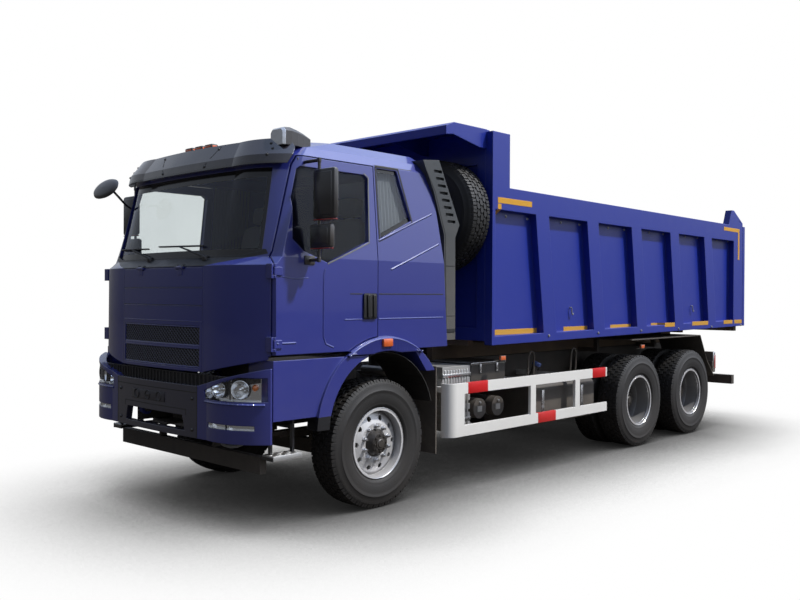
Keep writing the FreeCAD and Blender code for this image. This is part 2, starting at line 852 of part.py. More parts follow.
def make_cab_shell():
    """Hollow cab with its floor, windscreen, door and rear quarter openings and arch flares."""
    outer = cab_form(0)
    inner = cab_form(cab_wall)
    floor_top = cab_floor_z + cab_floor_thickness
    room = inner.common(box(-2000, 2000, -1500, 1500, floor_top, 4000))
    below = inner.common(box(-2000, 2000, -1500, 1500, 0, cab_floor_z))
    below = below.fuse(below.copy().translated(point(0, 0, -100)))
    shell = outer.cut([room, below])
    shell = shell.cut(box(-2000, bumper_rear_x, -1500, 1500, 0, cab_side_low_z))
    for side in (-1, 1):
        wedge = prism_x([(side * panel_half_width, cab_low_z), (side * panel_half_width, cab_low_z - 60),
                         (side * (cab_half_width + 10), cab_low_z - 60),
                         (side * (cab_half_width + 10), cab_corner_low_z)], 1000, 1500)
        shell = shell.cut(wedge)
    door = door_block(0)
    shell = shell.cut([door, mirrored(door)])
    shell = shell.cut(prism_x(windscreen, 700, 1600))
    quarter = prism_y(quarter_window, 900, 1400)
    shell = shell.cut([quarter, mirrored(quarter)])
    recess = box(cab_front_x - 200, cab_front_x + 50, -panel_half_width, panel_half_width,
                 cab_low_z - 50, panel_top_z)
    shell = shell.cut(recess)
    arch = cylinder_y(arch_x, 900, 1500, arch_z, arch_inner_radius)
    shell = shell.cut([arch, mirrored(arch)])
    flare = cylinder_y(arch_x, cab_half_width - arch_depth, cab_half_width + arch_lip, arch_z,
                       arch_outer_radius)
    flare = flare.cut(cylinder_y(arch_x, 900, 1500, arch_z, arch_inner_radius))
    keep = prism_y([(-560, 1130), (-460, 1130), (-300, cab_side_low_z), (600, cab_side_low_z),
                    (600, 1600), (-760, 1600)], 900, 1400)
    flare = flare.common(keep)
    firewall_x = cab_front_x - firewall_setback
    firewall = box(firewall_x, firewall_x + firewall_thickness, -panel_half_width - 80,
                   panel_half_width + 80, cab_floor_z, cab_belt_z + 40)
    arm = tilt_arm()
    half = hinge_height / 2.0
    hinges = []
    for z in (door_hinge_low_z, door_hinge_high_z):
        notch = hinge_notch(z, half + 1)
        shell = shell.cut([notch, mirrored(notch)])
        hinges += both_sides(door_hinge_on_cab(z))
    for y in (-panel_hinge_y, panel_hinge_y):
        shell = shell.cut(panel_hinge_notch(y, half + 1))
        hinges.append(panel_hinge(y, False))
    pieces = [shell, firewall] + both_sides(flare) + hinges + both_sides(arm)
    save("cab_shell", [joined(pieces)])


def glass_from(opening, inset):
    band = cab_form(inset).cut(cab_form(inset + glass_thickness))
    return band.common(opening)


def make_cab_glass():
    front = glass_from(prism_x(windscreen, 700, 1600), glass_inset)
    quarter = prism_y(quarter_window, 900, 1400)
    side = glass_from(quarter, glass_inset)
    save("cab_glass", [front] + both_sides(side))


def make_front_panel():
    """Lifting front panel with two bands of diamond mesh set in a recess."""
    gap = panel_gap / 2.0
    band = cab_form(0).cut(cab_form(45))
    block = box(1000, 1600, -panel_half_width + gap, panel_half_width - gap,
                cab_low_z, panel_top_z - gap)
    plate = band.common(block)
    window = box(1000, 1600, -grille_half_width, grille_half_width, grille_low_z, grille_top_z)
    plate = plate.cut(window)
    bars = []
    middle_z = (grille_top_z + grille_low_z) / 2.0
    strip = box(1000, 1600, -grille_half_width, grille_half_width, middle_z - 14, middle_z + 14)
    for low, high in ((grille_low_z, middle_z - 14), (middle_z + 14, grille_top_z)):
        rise = high - low
        count = int((2 * grille_half_width + rise) / (2 * grille_pitch))
        for index in range(count + 1):
            y = -grille_half_width - rise / 2.0 + index * 2 * grille_pitch
            for lean in (-1, 1):
                start = y if lean > 0 else y + rise
                end = y + rise if lean > 0 else y
                bars.append(prism_x([(start, low), (start + grille_bar, low), (end + grille_bar, high),
                                     (end, high)], 1000, 1600))
    thin = cab_form(14).cut(cab_form(30))
    mesh = thin.common(joined([strip] + bars)).common(window)
    hinges = []
    for y in (-panel_hinge_y, panel_hinge_y):
        notch = panel_hinge_notch(y, hinge_height / 2.0 + 30)
        plate = plate.cut(notch)
        hinges.append(panel_hinge(y, True))
    save("front_panel", [joined([plate, mesh] + hinges)])


def make_visor():
    """Sun visor that wraps round the front of the roof."""
    band = cab_form(-visor_depth).cut(cab_form(0))
    keep = prism_y([(1500, visor_low_z), (1500, visor_top_z), (925, visor_top_z), (925, 2912),
                    (1003, visor_low_z)], -1400, 1400)
    save("visor", [band.common(keep)])


def make_interior():
    """Seats, bunk, dashboard, column and steering wheel that show through the glass."""
    floor = cab_floor_z + cab_floor_thickness
    seats = []
    for y in (-620, 620):
        base = box(-40, 380, y - 200, y + 200, floor, floor + 330)
        cushion = box(-80, 440, y - 250, y + 250, floor + 330, floor + 460)
        back = prism_y([(-80, floor + 400), (40, floor + 400), (-60, floor + 1010), (-190, floor + 1010)],
                       y - 240, y + 240)
        head = box(-190, -80, y - 130, y + 130, floor + 1010, floor + 1190)
        seats.append(joined([base, cushion, back, head]))
    bunk = box(-650, -300, -1050, 1050, floor, floor + 420)
    dash = prism_y([(1180, floor), (1240, 2030), (900, 2010), (850, 1900), (960, 1500), (960, floor)],
                   -dash_half_width, dash_half_width)
    dash = dash.common(cab_form(cab_wall))
    centre = point(700, 620, 2010)
    lean = point(0.35, 0, -0.94)
    wheel = Part.makeTorus(225, 15, centre, lean)
    column = Part.makeCylinder(32, 420, centre, point(0.62, 0, -0.55))
    spokes = [Part.makeCylinder(12, 446, point(700, 397, 2010), point(0, 1, 0)),
              Part.makeCylinder(55, 24, centre, lean)]
    steering = joined([wheel, column] + spokes)
    save("cab_interior", seats + [bunk, joined([dash, steering])])


def make_snorkel():
    """Air intake that climbs the rear corner of the cab, louvred over its upper part."""
    body = prism_y([(-455, 2965), (-667, 2985), (-953, 2426), (-894, 2308), (-900, 1385),
                    (-762, 1385), (-740, 2326), (-603, 2691)], snorkel_inner_y, snorkel_outer_y)
    louvres = []
    for index in range(louvre_count):
        z = louvre_low_z + index * louvre_pitch
        x = -893 + index * louvre_pitch * 0.43
        louvres.append(box(x, x + 106, snorkel_outer_y - 25, snorkel_outer_y + 10, z, z + louvre_height))
    body = body.cut(cab_form(0)).cut(louvres)
    save("snorkel", [body])


def make_doors():
    gap = panel_gap
    skin = cab_form(0).cut(cab_form(door_thickness))
    door = skin.common(door_block(gap))
    window = prism_y(door_window, 900, 1400)
    door = door.cut(window)
    handle = box(150, 270, cab_half_width - 20, cab_half_width + 14, 1610, 1790)
    hinges = []
    for z in (door_hinge_low_z, door_hinge_high_z):
        door = door.cut(hinge_notch(z, hinge_height / 2.0 + 30))
        hinges.append(door_hinge_on_door(z))
    left = joined([door, handle] + hinges)
    glass = glass_from(window, glass_inset)
    save("door_left", [left])
    save("door_right", [mirrored(left)])
    save("door_left_glass", [glass])
    save("door_right_glass", [mirrored(glass)])
    upper = box(mirror_x - mirror_depth, mirror_x, mirror_inner_y, mirror_outer_y, 2350, 2735)
    lower = box(mirror_x - mirror_depth, mirror_x, small_mirror_inner_y, small_mirror_outer_y, 2135, 2320)
    stem_y = mirror_inner_y + 50
    stem = cylinder_z(mirror_x - 30, stem_y, mirror_arm_low_z - 20, mirror_arm_high_z + 20, 16)
    arms = []
    for z, foot_y in ((mirror_arm_high_z, cab_brow_half_width - 30), (mirror_arm_low_z, cab_half_width - 10)):
        arms.append(cylinder_y(mirror_x - 30, foot_y, stem_y, z, 14))
    mirror = joined([upper, lower, stem] + arms)
    mirror = mirror.cut(cab_form(0))
    solids = sorted(mirror.Solids, key=lambda solid: solid.Volume)
    mirror = solids[-1]
    save("mirror_left", [mirror])
    save("mirror_right", [mirrored(mirror)])


def make_front_mirror():
    """Close-range mirror that hangs on an arm off the right front corner of the roof."""
    head = box(1365, 1430, -1100, -680, 2640, 2790)
    edges = [edge for edge in head.Edges if abs(edge.Length - 65) < 0.5]
    head = head.makeFillet(60, edges)
    foot = point(1015, -1080, 2555)
    run = point(1380, -890, 2705).sub(foot)
    arm = Part.makeCylinder(13, run.Length, foot, run).cut(cab_form(0))
    save("front_mirror", [joined([head, arm])])


# Front end

def bumper_plan(inset, z):
    front = front_reach
    return plan_wire(900, cab_half_width - inset, bumper_rear_x + 15 - inset * 0.4, front - 90 - inset,
                     front - 32 - inset, 720, front - inset, z)


def bumper_band(inset, thickness, z0, z1):
    """Curved wall that follows the bumper's plan, of a given thickness."""
    outer = Part.Face(bumper_plan(inset, z0)).extrude(point(0, 0, z1 - z0))
    inner = Part.Face(bumper_plan(inset + thickness, z0)).extrude(point(0, 0, z1 - z0))
    return outer.cut(inner)


headlamp_outline = [(700, 996), (1300, 998), (1300, 1172), (1054, 1177), (930, 1142), (690, 1060)]
fog_outline = [(742, 786), (1159, 786), (1159, 823), (742, 823)]


def make_bumper():
    wall = bumper_band(0, bumper_wall, bumper_low_z, bumper_side_top_z)
    keep = box(bumper_rear_x, 2000, -1400, 1400, 0, 2000)
    wall = wall.common(keep)
    rise = (bumper_side_top_z - bumper_mid_top_z) / float(cab_half_width - bumper_flat_y)
    wide = 1400
    for side in (-1, 1):
        above = prism_x([(0, bumper_mid_top_z), (side * bumper_flat_y, bumper_mid_top_z),
                         (side * wide, bumper_mid_top_z + rise * (wide - bumper_flat_y)),
                         (side * wide, 1500), (0, 1500)], 1000, 1600)
        wall = wall.cut(above)
        lamp = prism_x([(side * y, z) for y, z in headlamp_outline], bumper_rear_x + 30, 1600)
        fog = prism_x([(side * y, z) for y, z in fog_outline], bumper_rear_x + 30, 1600)
        wall = wall.cut([lamp, fog])
    wall = wall.cut(prism_x([(-450, 731), (450, 731), (420, 848), (-420, 848)], 1000, 1600))
    beam_x = frame_front_x + bumper_beam_depth
    bracket_end_x = front_reach - bumper_wall + 5
    cross_beam = box(frame_front_x, beam_x, -rail_outer_y, rail_outer_y, bumper_beam_low_z,
                     bumper_beam_top_z)
    brackets = []
    for side in (-1, 1):
        y0 = min(side * 380, side * 410)
        brackets.append(box(frame_front_x, bracket_end_x, y0, y0 + 30, 880, 980))
        arm_y = min(side * bumper_arm_y, side * (bumper_arm_y + bumper_arm_width))
        brackets.append(box(frame_front_x, bracket_end_x, arm_y, arm_y + bumper_arm_width,
                            bumper_beam_low_z, bumper_beam_top_z))
    save("front_bumper", [joined([wall, cross_beam] + brackets)])


def make_tow_jaw():
    """Jaw of two bored plates on a block that stands on the bumper's cross beam."""
    half = tow_jaw_half_width
    jaw = [box(frame_front_x, frame_front_x + bumper_beam_depth, -half, half, bumper_beam_top_z,
               tow_pin_z + tow_jaw_reach_z)]
    for z in (tow_pin_z - tow_jaw_gap / 2.0 - tow_jaw_plate, tow_pin_z + tow_jaw_gap / 2.0):
        jaw.append(box(frame_front_x, tow_pin_x + 45, -half, half, z, z + tow_jaw_plate))
    pin_bore = cylinder_z(tow_pin_x, 0, bumper_beam_top_z + 5, tow_pin_z + tow_jaw_reach_z, tow_pin_radius)
    save("tow_jaw", [joined(jaw).cut(pin_bore)])


def make_lamps():
    """Headlamps and fog lamps in the bumper, and the tail lamps."""
    shapes = []
    band = bumper_band(4, 45, 700, 1300).common(box(bumper_rear_x + 30, 2000, 0, 1400, 0, 2000))
    for outline in (headlamp_outline, fog_outline):
        shapes.append(band.common(prism_x(outline, bumper_rear_x + 30, 1600)))
    shapes.append(box(tail_lamp_x - 60, tail_lamp_x, 870, 1205, 745, 1028))
    save("lamps", shapes + [mirrored(shape) for shape in shapes])


def make_underrun_bars():
    """Front and rear underrun bars, and the arms that carry the tail lamps."""
    front = [box(1090, 1150, -1030, 1030, 430, 560)]
    rear = [box(rear_bar_x, rear_bar_x + 80, -under_bar_half, under_bar_half, 545, 670)]
    lamp_arms = []
    web_y = rail_outer_y - rail_plate
    sweep = [(frame_rear_x + 80, rail_low_z + rail_plate + 2), (frame_rear_x + 80, rail_low_z + 110),
             (rear_bar_x + 60, 668), (rear_bar_x + 60, 547), (frame_rear_x - 2, rail_low_z + rail_plate + 2)]
    for side in (-1, 1):
        y0 = min(side * (web_y - 30), side * web_y)
        front.append(box(1080, 1140, y0, y0 + 30, 500, rail_low_z))
        rear.append(prism_y(sweep, y0, y0 + 30))
        y0 = min(side * rail_outer_y, side * under_bar_half)
        lamp_arms.append(box(tail_lamp_x, tail_lamp_x + 40, y0, y0 + under_bar_half - rail_outer_y, 840, 900))
    save("underrun_bars", [joined(front), joined(rear)] + lamp_arms)


def make_steps():
    """Panels under the doors with their part of the arch, and a low rung."""
    front_x = bumper_rear_x - 9
    outline = [(front_x, entry_low_z), (front_x, entry_top_z), (arch_x + 150, entry_top_z),
               (arch_x + 520, entry_low_z)]
    panel = prism_y(outline, cab_half_width - 300, cab_half_width)
    panel = panel.cut(cylinder_y(arch_x, 800, 1500, arch_z, arch_inner_radius))
    flare = cylinder_y(arch_x, cab_half_width - 100, cab_half_width + arch_lip, arch_z, arch_outer_radius)
    flare = flare.cut(cylinder_y(arch_x, 800, 1500, arch_z, arch_inner_radius))
    flare = flare.common(box(arch_x + 200, arch_x + 860, 800, 1500, arch_z + 40, entry_top_z))
    carrier = box(960, 1020, rail_outer_y, cab_half_width - 290, 860, 920)
    rung = box(880, 1150, 1060, 1190, 545, 575)
    straps = [box(x, x + 20, 1100, 1130, 560, entry_low_z + 10) for x in (900, 1110)]
    left = joined([panel, flare, carrier, rung] + straps)
    save("entry_steps", both_sides(left))


# Side equipment

def rounded_tank(x0, x1):
    """Fuel tank: rounded square section running along X."""
    block = box(x0, x1, tank_inner_y, tank_outer_y, tank_low_z, tank_top_z)
    long_edges = [edge for edge in block.Edges if abs(edge.Length - (x1 - x0)) < 0.5]
    return block.makeFillet(80, long_edges)


def tank_brackets(stations):
    brackets = []
    for x in stations:
        brackets.append(box(x, x + 60, rail_outer_y, tank_inner_y + 5, tank_low_z + 120, rail_top_z - 40))
    return brackets


def make_tanks():
    """Fuel tank on each side, and battery box with two air tanks below it on the left."""
    rear_foot = tank_rear_x + 150
    left_tank = joined([rounded_tank(tank_rear_x, -2220)] + tank_brackets((rear_foot, -2450)))
    right_tank = joined([rounded_tank(tank_rear_x, -1400)] + tank_brackets((rear_foot, -1600)))
    battery_rear_x = battery_front_x - battery_length
    battery = box(battery_rear_x, battery_front_x, tank_inner_y, 1060, battery_low_z, battery_top_z)
    shelf = box(battery_rear_x, battery_front_x, rail_outer_y, tank_inner_y + 10, rail_top_z - 90,
                battery_low_z + 30)
    straps = []
    air = []
    for x in (battery_front_x - 161, battery_front_x - 449):
        air.append(cylinder_y(x, 520, 1040, air_tank_z, air_tank_radius))
        straps.append(box(x - 30, x + 30, 560, 620, air_tank_z + air_tank_radius - 10, battery_low_z + 5))
    save("tanks", [left_tank, mirrored(right_tank), joined([battery, shelf] + air + straps)])


def exhaust_elbow():
    """Pipe that leaves the silencer forwards and turns inboard towards the engine."""
    start = point(silencer_front_x - 40, pipe_y, pipe_z)
    turn_in = point(silencer_front_x + 10, pipe_y, pipe_z)
    middle = point(silencer_front_x + 10 + pipe_bend * math.sin(math.pi / 4),
                   pipe_y - pipe_bend * (1 - math.cos(math.pi / 4)), pipe_z)
    turn_out = point(silencer_front_x + 10 + pipe_bend, pipe_y - pipe_bend, pipe_z)
    end = point(silencer_front_x + 10 + pipe_bend, pipe_end_y, pipe_z)
    path = Part.Wire([
        Part.LineSegment(start, turn_in).toShape(),
        Part.Arc(turn_in, middle, turn_out).toShape(),
        Part.LineSegment(turn_out, end).toShape()])
    ring = Part.Wire([Part.Circle(start, point(1, 0, 0), pipe_radius).toShape()])
    return path.makePipeShell([ring], True, True)


def make_silencer():
    """Ribbed silencer box behind the left front wheel, with its inlet elbow."""
    rear_x = silencer_front_x - silencer_length
    body = box(rear_x, silencer_front_x, 520, 1060, 530, 1120)
    grooves = []
    for index in range(6):
        z = 590 + index * 84
        grooves.append(box(rear_x - 10, silencer_front_x + 10, 1040, 1100, z, z + 30))
        grooves.append(box(silencer_front_x - 15, silencer_front_x + 10, 500, 1100, z, z + 30))
    body = body.cut(grooves)
    bracket = box(rear_x + 60, silencer_front_x - 100, rail_outer_y, 530, 780, 860)
    save("silencer", [joined([body, bracket, exhaust_elbow()])])


def guard_rail(middle_z, height):
    """Guard rail with its front end rounded inboard."""
    z0 = middle_z - height / 2.0
    outer = box(guard_rear_x, guard_front_x, guard_y - guard_return, guard_y, z0, z0 + height)
    corner = [edge for edge in outer.Edges
              if abs(edge.Length - height) < 0.5 and edge.BoundBox.XMin > guard_front_x - 1
              and edge.BoundBox.YMin > guard_y - 1]
    outer = outer.makeFillet(guard_corner, corner)
    inner = box(guard_rear_x - 10, guard_front_x - guard_thickness, guard_y - guard_return - 10,
                guard_y - guard_thickness, z0 - 5, z0 + height + 5)
    inner_corner = [edge for edge in inner.Edges
                    if abs(edge.Length - height - 10) < 0.5
                    and edge.BoundBox.XMin > guard_front_x - guard_thickness - 1
                    and edge.BoundBox.YMin > guard_y - guard_thickness - 1]
    inner = inner.makeFillet(guard_corner - guard_thickness, inner_corner)
    return outer.cut(inner)


def make_side_guards():
    rails = [guard_rail(guard_upper_z, guard_rail_height), guard_rail(guard_lower_z, guard_rail_height)]
    low = guard_lower_z - guard_rail_height / 2.0
    high = guard_upper_z + guard_rail_height / 2.0
    plate = guard_rail((low + high) / 2.0, high - low)
    plate = plate.common(box(guard_front_x - guard_plate_length, guard_front_x + 10, 800, 1300, 0, 1300))
    posts = []
    for x in (guard_rear_x + 1380, guard_rear_x + 560):
        posts.append(box(x, x + 90, guard_y - guard_thickness, guard_y, low, high))
    arms = []
    for x in (guard_front_x - 90, guard_rear_x + 1400, guard_rear_x + 580):
        arms.append(box(x, x + 50, rail_outer_y, guard_y - guard_thickness + 5, 895, 945))
    left = joined(rails + [plate] + posts + arms)
    save("side_guards", both_sides(left))


def make_mudguards():
    """Flaps behind the front wheels, and long guards over the four rear wheels."""
    flap = box(-690, -676, 880, 1180, 370, 1150)
    flap_arm = box(-690, -650, rail_outer_y, 890, 900, 950)
    front = joined([flap, flap_arm])
    top = mudguard_top_z
    path = [(middle_axle_x + 218, top), (rear_axle_x - 250, top), (rear_axle_x - 455, 924),
            (rear_axle_x - 670, 704)]
    shell = []
    for (x0, z0), (x1, z1) in zip(path, path[1:]):
        shell.append(prism_y([(x0, z0), (x0, z0 + mudguard_plate + 4), (x1, z1 + mudguard_plate + 4), (x1, z1)],
                             mudguard_inner_y, bed_half_width - 5))
    brackets = []
    for x in (middle_axle_x + 50, rear_axle_x - 50):
        brackets.append(box(x, x + 50, rail_outer_y, mudguard_inner_y + 80, 1100, 1150))
        brackets.append(box(x, x + 50, mudguard_inner_y + 30, mudguard_inner_y + 80, 1100, top))
    rear = joined(shell + brackets)
    save("mudguards", both_sides(front) + both_sides(rear))


# Load body

def along_bed(x):
    """Share of the load body's length behind its front, at a station."""
    return (bed_front_x - x) / float(bed_front_x - bed_rear_x)


def sill_z(x):
    return bed_low_z + bed_sill_rise * along_bed(x)


def rail_z(x):
    return bed_rail_front_z - (bed_rail_front_z - bed_rail_rear_z) * along_bed(x)


def side_outline():
    """Side view of the load body's side, from the front post to the peak over the tailgate hinge."""
    peak_rear_x = bed_front_x - side_peak_length
    return [
        (bed_front_x, bed_low_z), (bed_front_x, side_peak_z), (peak_rear_x, side_peak_z),
        (peak_rear_x, rail_z(peak_rear_x)), (bed_rear_x + 470, rail_z(bed_rear_x + 470)),
        (bed_rear_x + 380, rear_peak_z), (bed_rear_x + rear_post_width, rear_peak_z),
        (bed_rear_x, rear_peak_drop_z), (bed_rear_x, sill_z(bed_rear_x))]


def make_bed_sides():
    """Sides with a top rail, sill, posts and raked ribs that leave six recessed panels."""
    side = prism_y(side_outline(), bed_inner_y, bed_half_width)
    rib_front = bed_front_x - bed_first_bay
    rear_post_x = bed_rear_x + rear_post_width
    pitch = (rib_front - bed_rib_width - bed_last_bay - rear_post_x) / (bed_rib_count - 1.0)
    starts = [(bed_front_x - front_post_width, 0)]
    ends = []
    for index in range(bed_rib_count):
        ends.append((rib_front - index * pitch, bed_rib_rake))
        starts.append((rib_front - index * pitch - bed_rib_width, bed_rib_rake))
    ends.append((rear_post_x, 0))
    pockets = []
    for (front, front_rake), (back, back_rake) in zip(starts, ends):
        pockets.append(prism_y([
            (front, sill_z(front) + bed_sill_height), (back, sill_z(back) + bed_sill_height),
            (back + back_rake, rail_z(back) - bed_rail_height),
            (front + front_rake, rail_z(front) - bed_rail_height)],
            bed_inner_y + bed_plate, bed_half_width + 10))
    side = side.cut(pockets)
    hole = cylinder_y(gate_pin_x, bed_inner_y - 10, bed_half_width + 10, gate_pin_z,
                      gate_pin_radius + spin_clearance)
    side = side.cut(hole)
    save("bed_side_left", [side])
    save("bed_side_right", [mirrored(side)])


def make_bed_floor():
    """Floor plate on two long beams and cross-bearers, with the hinge lugs at the rear."""
    front_x = bed_front_x - headboard_thickness
    low = bed_floor_low_z
    plate = box(bed_rear_x, front_x, -bed_inner_y, bed_inner_y, low, bed_floor_top_z)
    beam_low = subframe_top_z + bed_rest_gap
    pieces = [plate]
    for side in (-1, 1):
        y0 = side * bed_beam_y - bed_beam_width / 2.0
        pieces.append(box(bed_hinge_x + 45, front_x, y0, y0 + bed_beam_width, beam_low, low))
    lug_outline = [(bed_hinge_x - 60, low), (bed_hinge_x - 55, bed_hinge_z - 20),
                   (bed_hinge_x + 50, bed_hinge_z - 20), (bed_hinge_x + 160, low)]
    for side in (-1, 1):
        y0 = side * bed_beam_y - 30
        lug = joined([prism_y(lug_outline, y0, y0 + 60),
                      cylinder_y(bed_hinge_x, y0, y0 + 60, bed_hinge_z, 60)])
        bore = cylinder_y(bed_hinge_x, y0 - 10, y0 + 70, bed_hinge_z, bed_pin_radius + spin_clearance)
        pieces.append(lug.cut(bore))
    bearers = []
    pitch = (front_x - bearer_half_width - bed_hinge_x) / float(bearer_count)
    for index in range(bearer_count):
        x = front_x - bearer_half_width - index * pitch
        bearers.append(box(x - bearer_half_width, x + bearer_half_width, -bearer_reach, bearer_reach,
                           low - bearer_height, low))
    rear_bearer = box(bed_rear_x, bed_rear_x + 80, -bed_inner_y, bed_inner_y, low - bearer_height, low)
    floor = joined(pieces + bearers + [rear_bearer])
    for side in (-1, 1):
        y0 = side * bed_beam_y - 30
        bore = cylinder_y(bed_hinge_x, y0 - 10, y0 + 70, bed_hinge_z, bed_pin_radius + spin_clearance)
        floor = floor.cut(bore)
    save("bed_floor", [floor])


def make_headboard():
    """Front wall of the load body with the canopy that shelters the cab."""
    wall = box(bed_front_x - headboard_thickness, bed_front_x, -bed_inner_y, bed_inner_y,
               bed_floor_low_z, headboard_top_z)
    channels = []
    for index in range(5):
        y = -900 + index * 450
        channels.append(box(bed_front_x - 25, bed_front_x + 1, y - 150, y + 150, bed_low_z + 160,
                            headboard_top_z - 330))
    wall = wall.cut(channels)
    top = headboard_top_z
    front_top = canopy_front_z
    bevel_x = canopy_front_x - canopy_bevel
    half = canopy_half_width
    back_x = bed_front_x - 5
    roof = prism_y([(back_x, top), (bevel_x, top), (canopy_front_x, front_top),
                    (canopy_front_x, front_top - canopy_plate), (bevel_x, top - canopy_plate),
                    (back_x, top - canopy_plate)], -half, half)
    lip = box(canopy_front_x - canopy_plate, canopy_front_x, -half, half, front_top - canopy_lip, front_top)
    pieces = [wall, roof, lip]
    outer_web = half - bed_inner_y + canopy_plate
    for y, web in ((-half, outer_web), (-420, canopy_plate), (410, canopy_plate), (half - outer_web, outer_web)):
        pieces.append(prism_y([
            (bed_front_x, top - 1), (bevel_x, top - 1), (canopy_front_x, front_top - 1),
            (canopy_front_x, front_top - canopy_lip), (canopy_front_x - 96, front_top - canopy_lip + 13),
            (bed_front_x + 105, top - 183), (bed_front_x, top - 183)], y, y + web))
    arms = []
    for y in (-147, 127):
        arms.append(prism_y([(bed_front_x - 5, hoist_collar_z - 160), (bed_front_x - 5, hoist_collar_z + 160),
                             (hoist_x - 40, hoist_collar_z + 60), (hoist_x + 60, hoist_collar_z + 40),
                             (hoist_x + 60, hoist_collar_z - 40), (hoist_x - 40, hoist_collar_z - 60)],
                            y, y + 20))
    save("headboard", [joined(pieces + arms)])


def make_tailgate():
    """Tailgate hung from two pins in the rear peaks, with stiffening ribs."""
    front = bed_rear_x - gate_gap
    back = front - gate_thickness
    plate = box(back + 40, front, -bed_half_width, bed_half_width, gate_low_z, bed_rail_rear_z)
    ribs = [box(back, back + 45, -bed_half_width, bed_half_width, z, z + 90)
            for z in (gate_low_z, (gate_low_z + bed_rail_rear_z) / 2.0 - 45, bed_rail_rear_z - 90)]
    ribs += [box(back, back + 45, y - 45, y + 45, gate_low_z, bed_rail_rear_z)
             for y in (-bed_half_width + 45, -420, 420, bed_half_width - 45)]
    hangers = []
    for side in (-1, 1):
        y0 = min(side * (bed_inner_y - 6), side * (bed_inner_y - 36))
        arm = prism_y([(gate_pin_x + 40, gate_pin_z - 30), (gate_pin_x + 40, gate_pin_z + 35),
                       (gate_pin_x - 60, gate_pin_z + 35), (front - 20, bed_rail_rear_z),
                       (front - 20, bed_rail_rear_z - 90), (front, bed_rail_rear_z - 90),
                       (front, gate_pin_z - 80)], y0, y0 + 30)
        y_end = side * (bed_half_width - 4)
        pin = cylinder_y(gate_pin_x, min(y0, y_end), max(y0 + 30, y_end), gate_pin_z, gate_pin_radius)
        hangers += [arm, pin]
    save("tailgate", [joined([plate] + ribs + hangers)])


# Hoist

def hoist_radius(stage):
    """Outer radius of a tube, from the cover at stage zero to the rod at the last stage."""
    return hoist_outer_radius - stage * (hoist_wall + hoist_clearance)


def make_hoist():
    """Telescopic hoist: the rod stands on the chassis, and each tube slides over the one inside."""
    rod_radius = hoist_radius(hoist_stages)
    rod = cylinder_z(hoist_x, 0, hoist_base_z + hoist_rod_rise, hoist_top_z - 60, rod_radius)
    foot = box(hoist_x - 45, hoist_x + 45, -38, 38, hoist_base_z - 20, hoist_base_z + hoist_rod_rise + 20)
    eye = cylinder_y(hoist_x, -38, 38, hoist_base_z, 52)
    bore = cylinder_y(hoist_x, -60, 60, hoist_base_z, hoist_pin_radius + spin_clearance)
    save("hoist_rod", [joined([rod, foot, eye]).cut(bore)])
    for stage in (2, 1, 0):
        radius = hoist_radius(stage)
        top = hoist_top_z - 15 * stage
        low = hoist_low_z
        tube = cylinder_z(hoist_x, 0, low, top, radius)
        tube = tube.cut(cylinder_z(hoist_x, 0, low - 5, top - 8, radius - hoist_wall))
        if stage == 0:
            collar = cylinder_z(hoist_x, 0, hoist_collar_z - 55, hoist_collar_z + 55, radius + 14)
            trunnion = cylinder_y(hoist_x, -121, 121, hoist_collar_z, 34)
            band = joined([collar, trunnion])
            band = band.cut(cylinder_z(hoist_x, 0, low, top - 8, radius - 1))
            tube = joined([tube, band])
            save("hoist_cover", [tube])
        else:
            save("hoist_stage_" + str(hoist_stages - stage), [tube])


os.makedirs("parts", exist_ok=True)
make_wheels()
make_spare_wheel()
make_chassis()
make_axles()
make_knuckles()
make_springs()
make_powertrain()
make_cab_shell()
make_cab_glass()
make_front_panel()
make_visor()
make_interior()
make_snorkel()
make_doors()
make_front_mirror()
make_bumper()
make_tow_jaw()
make_lamps()
make_underrun_bars()
make_steps()
make_tanks()
make_silencer()
make_side_guards()
make_mudguards()
make_bed_sides()
make_bed_floor()
make_headboard()
make_tailgate()
make_hoist()
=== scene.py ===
import math

import bmesh
import bpy
from mathutils import Matrix, Vector
from mathutils.bvhtree import BVHTree


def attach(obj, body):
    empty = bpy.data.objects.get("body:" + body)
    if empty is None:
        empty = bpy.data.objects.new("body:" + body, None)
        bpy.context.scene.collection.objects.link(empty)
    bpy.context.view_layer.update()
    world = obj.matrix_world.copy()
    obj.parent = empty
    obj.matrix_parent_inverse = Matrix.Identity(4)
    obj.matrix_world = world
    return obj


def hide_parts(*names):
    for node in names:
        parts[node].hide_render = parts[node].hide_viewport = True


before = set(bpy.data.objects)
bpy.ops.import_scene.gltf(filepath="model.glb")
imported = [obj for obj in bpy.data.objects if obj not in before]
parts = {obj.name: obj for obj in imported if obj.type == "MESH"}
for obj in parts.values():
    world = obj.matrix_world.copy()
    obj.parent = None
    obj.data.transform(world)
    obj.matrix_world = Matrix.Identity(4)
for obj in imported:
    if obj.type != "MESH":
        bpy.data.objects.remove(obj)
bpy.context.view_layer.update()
scene = bpy.context.scene

# Viewpoint. The camera stands off the front left corner, a little under the windscreen's foot,
# and looks back along the truck's left side.
view_yaw = 0.764211
view_pitch = 0.007053
view_roll = 0.004784
eye = (8.069, 6.307, 1.797)
back = Vector((math.cos(view_yaw) * math.cos(view_pitch), math.sin(view_yaw) * math.cos(view_pitch),
               math.sin(view_pitch)))
right = (-back).cross(Vector((0, 0, 1))).normalized()
up = back.cross(right)
camera_data = bpy.data.cameras.new("viewpoint")
camera_data.sensor_width = 36.0
camera_data.lens = 39.06
camera = bpy.data.objects.new("viewpoint", camera_data)
turn = Matrix((right, up, back)).transposed() @ Matrix.Rotation(view_roll, 3, "Z")
camera.matrix_world = Matrix.Translation(eye) @ turn.to_4x4()
scene.collection.objects.link(camera)
scene.camera = camera
scene.view_settings.view_transform = "Standard"

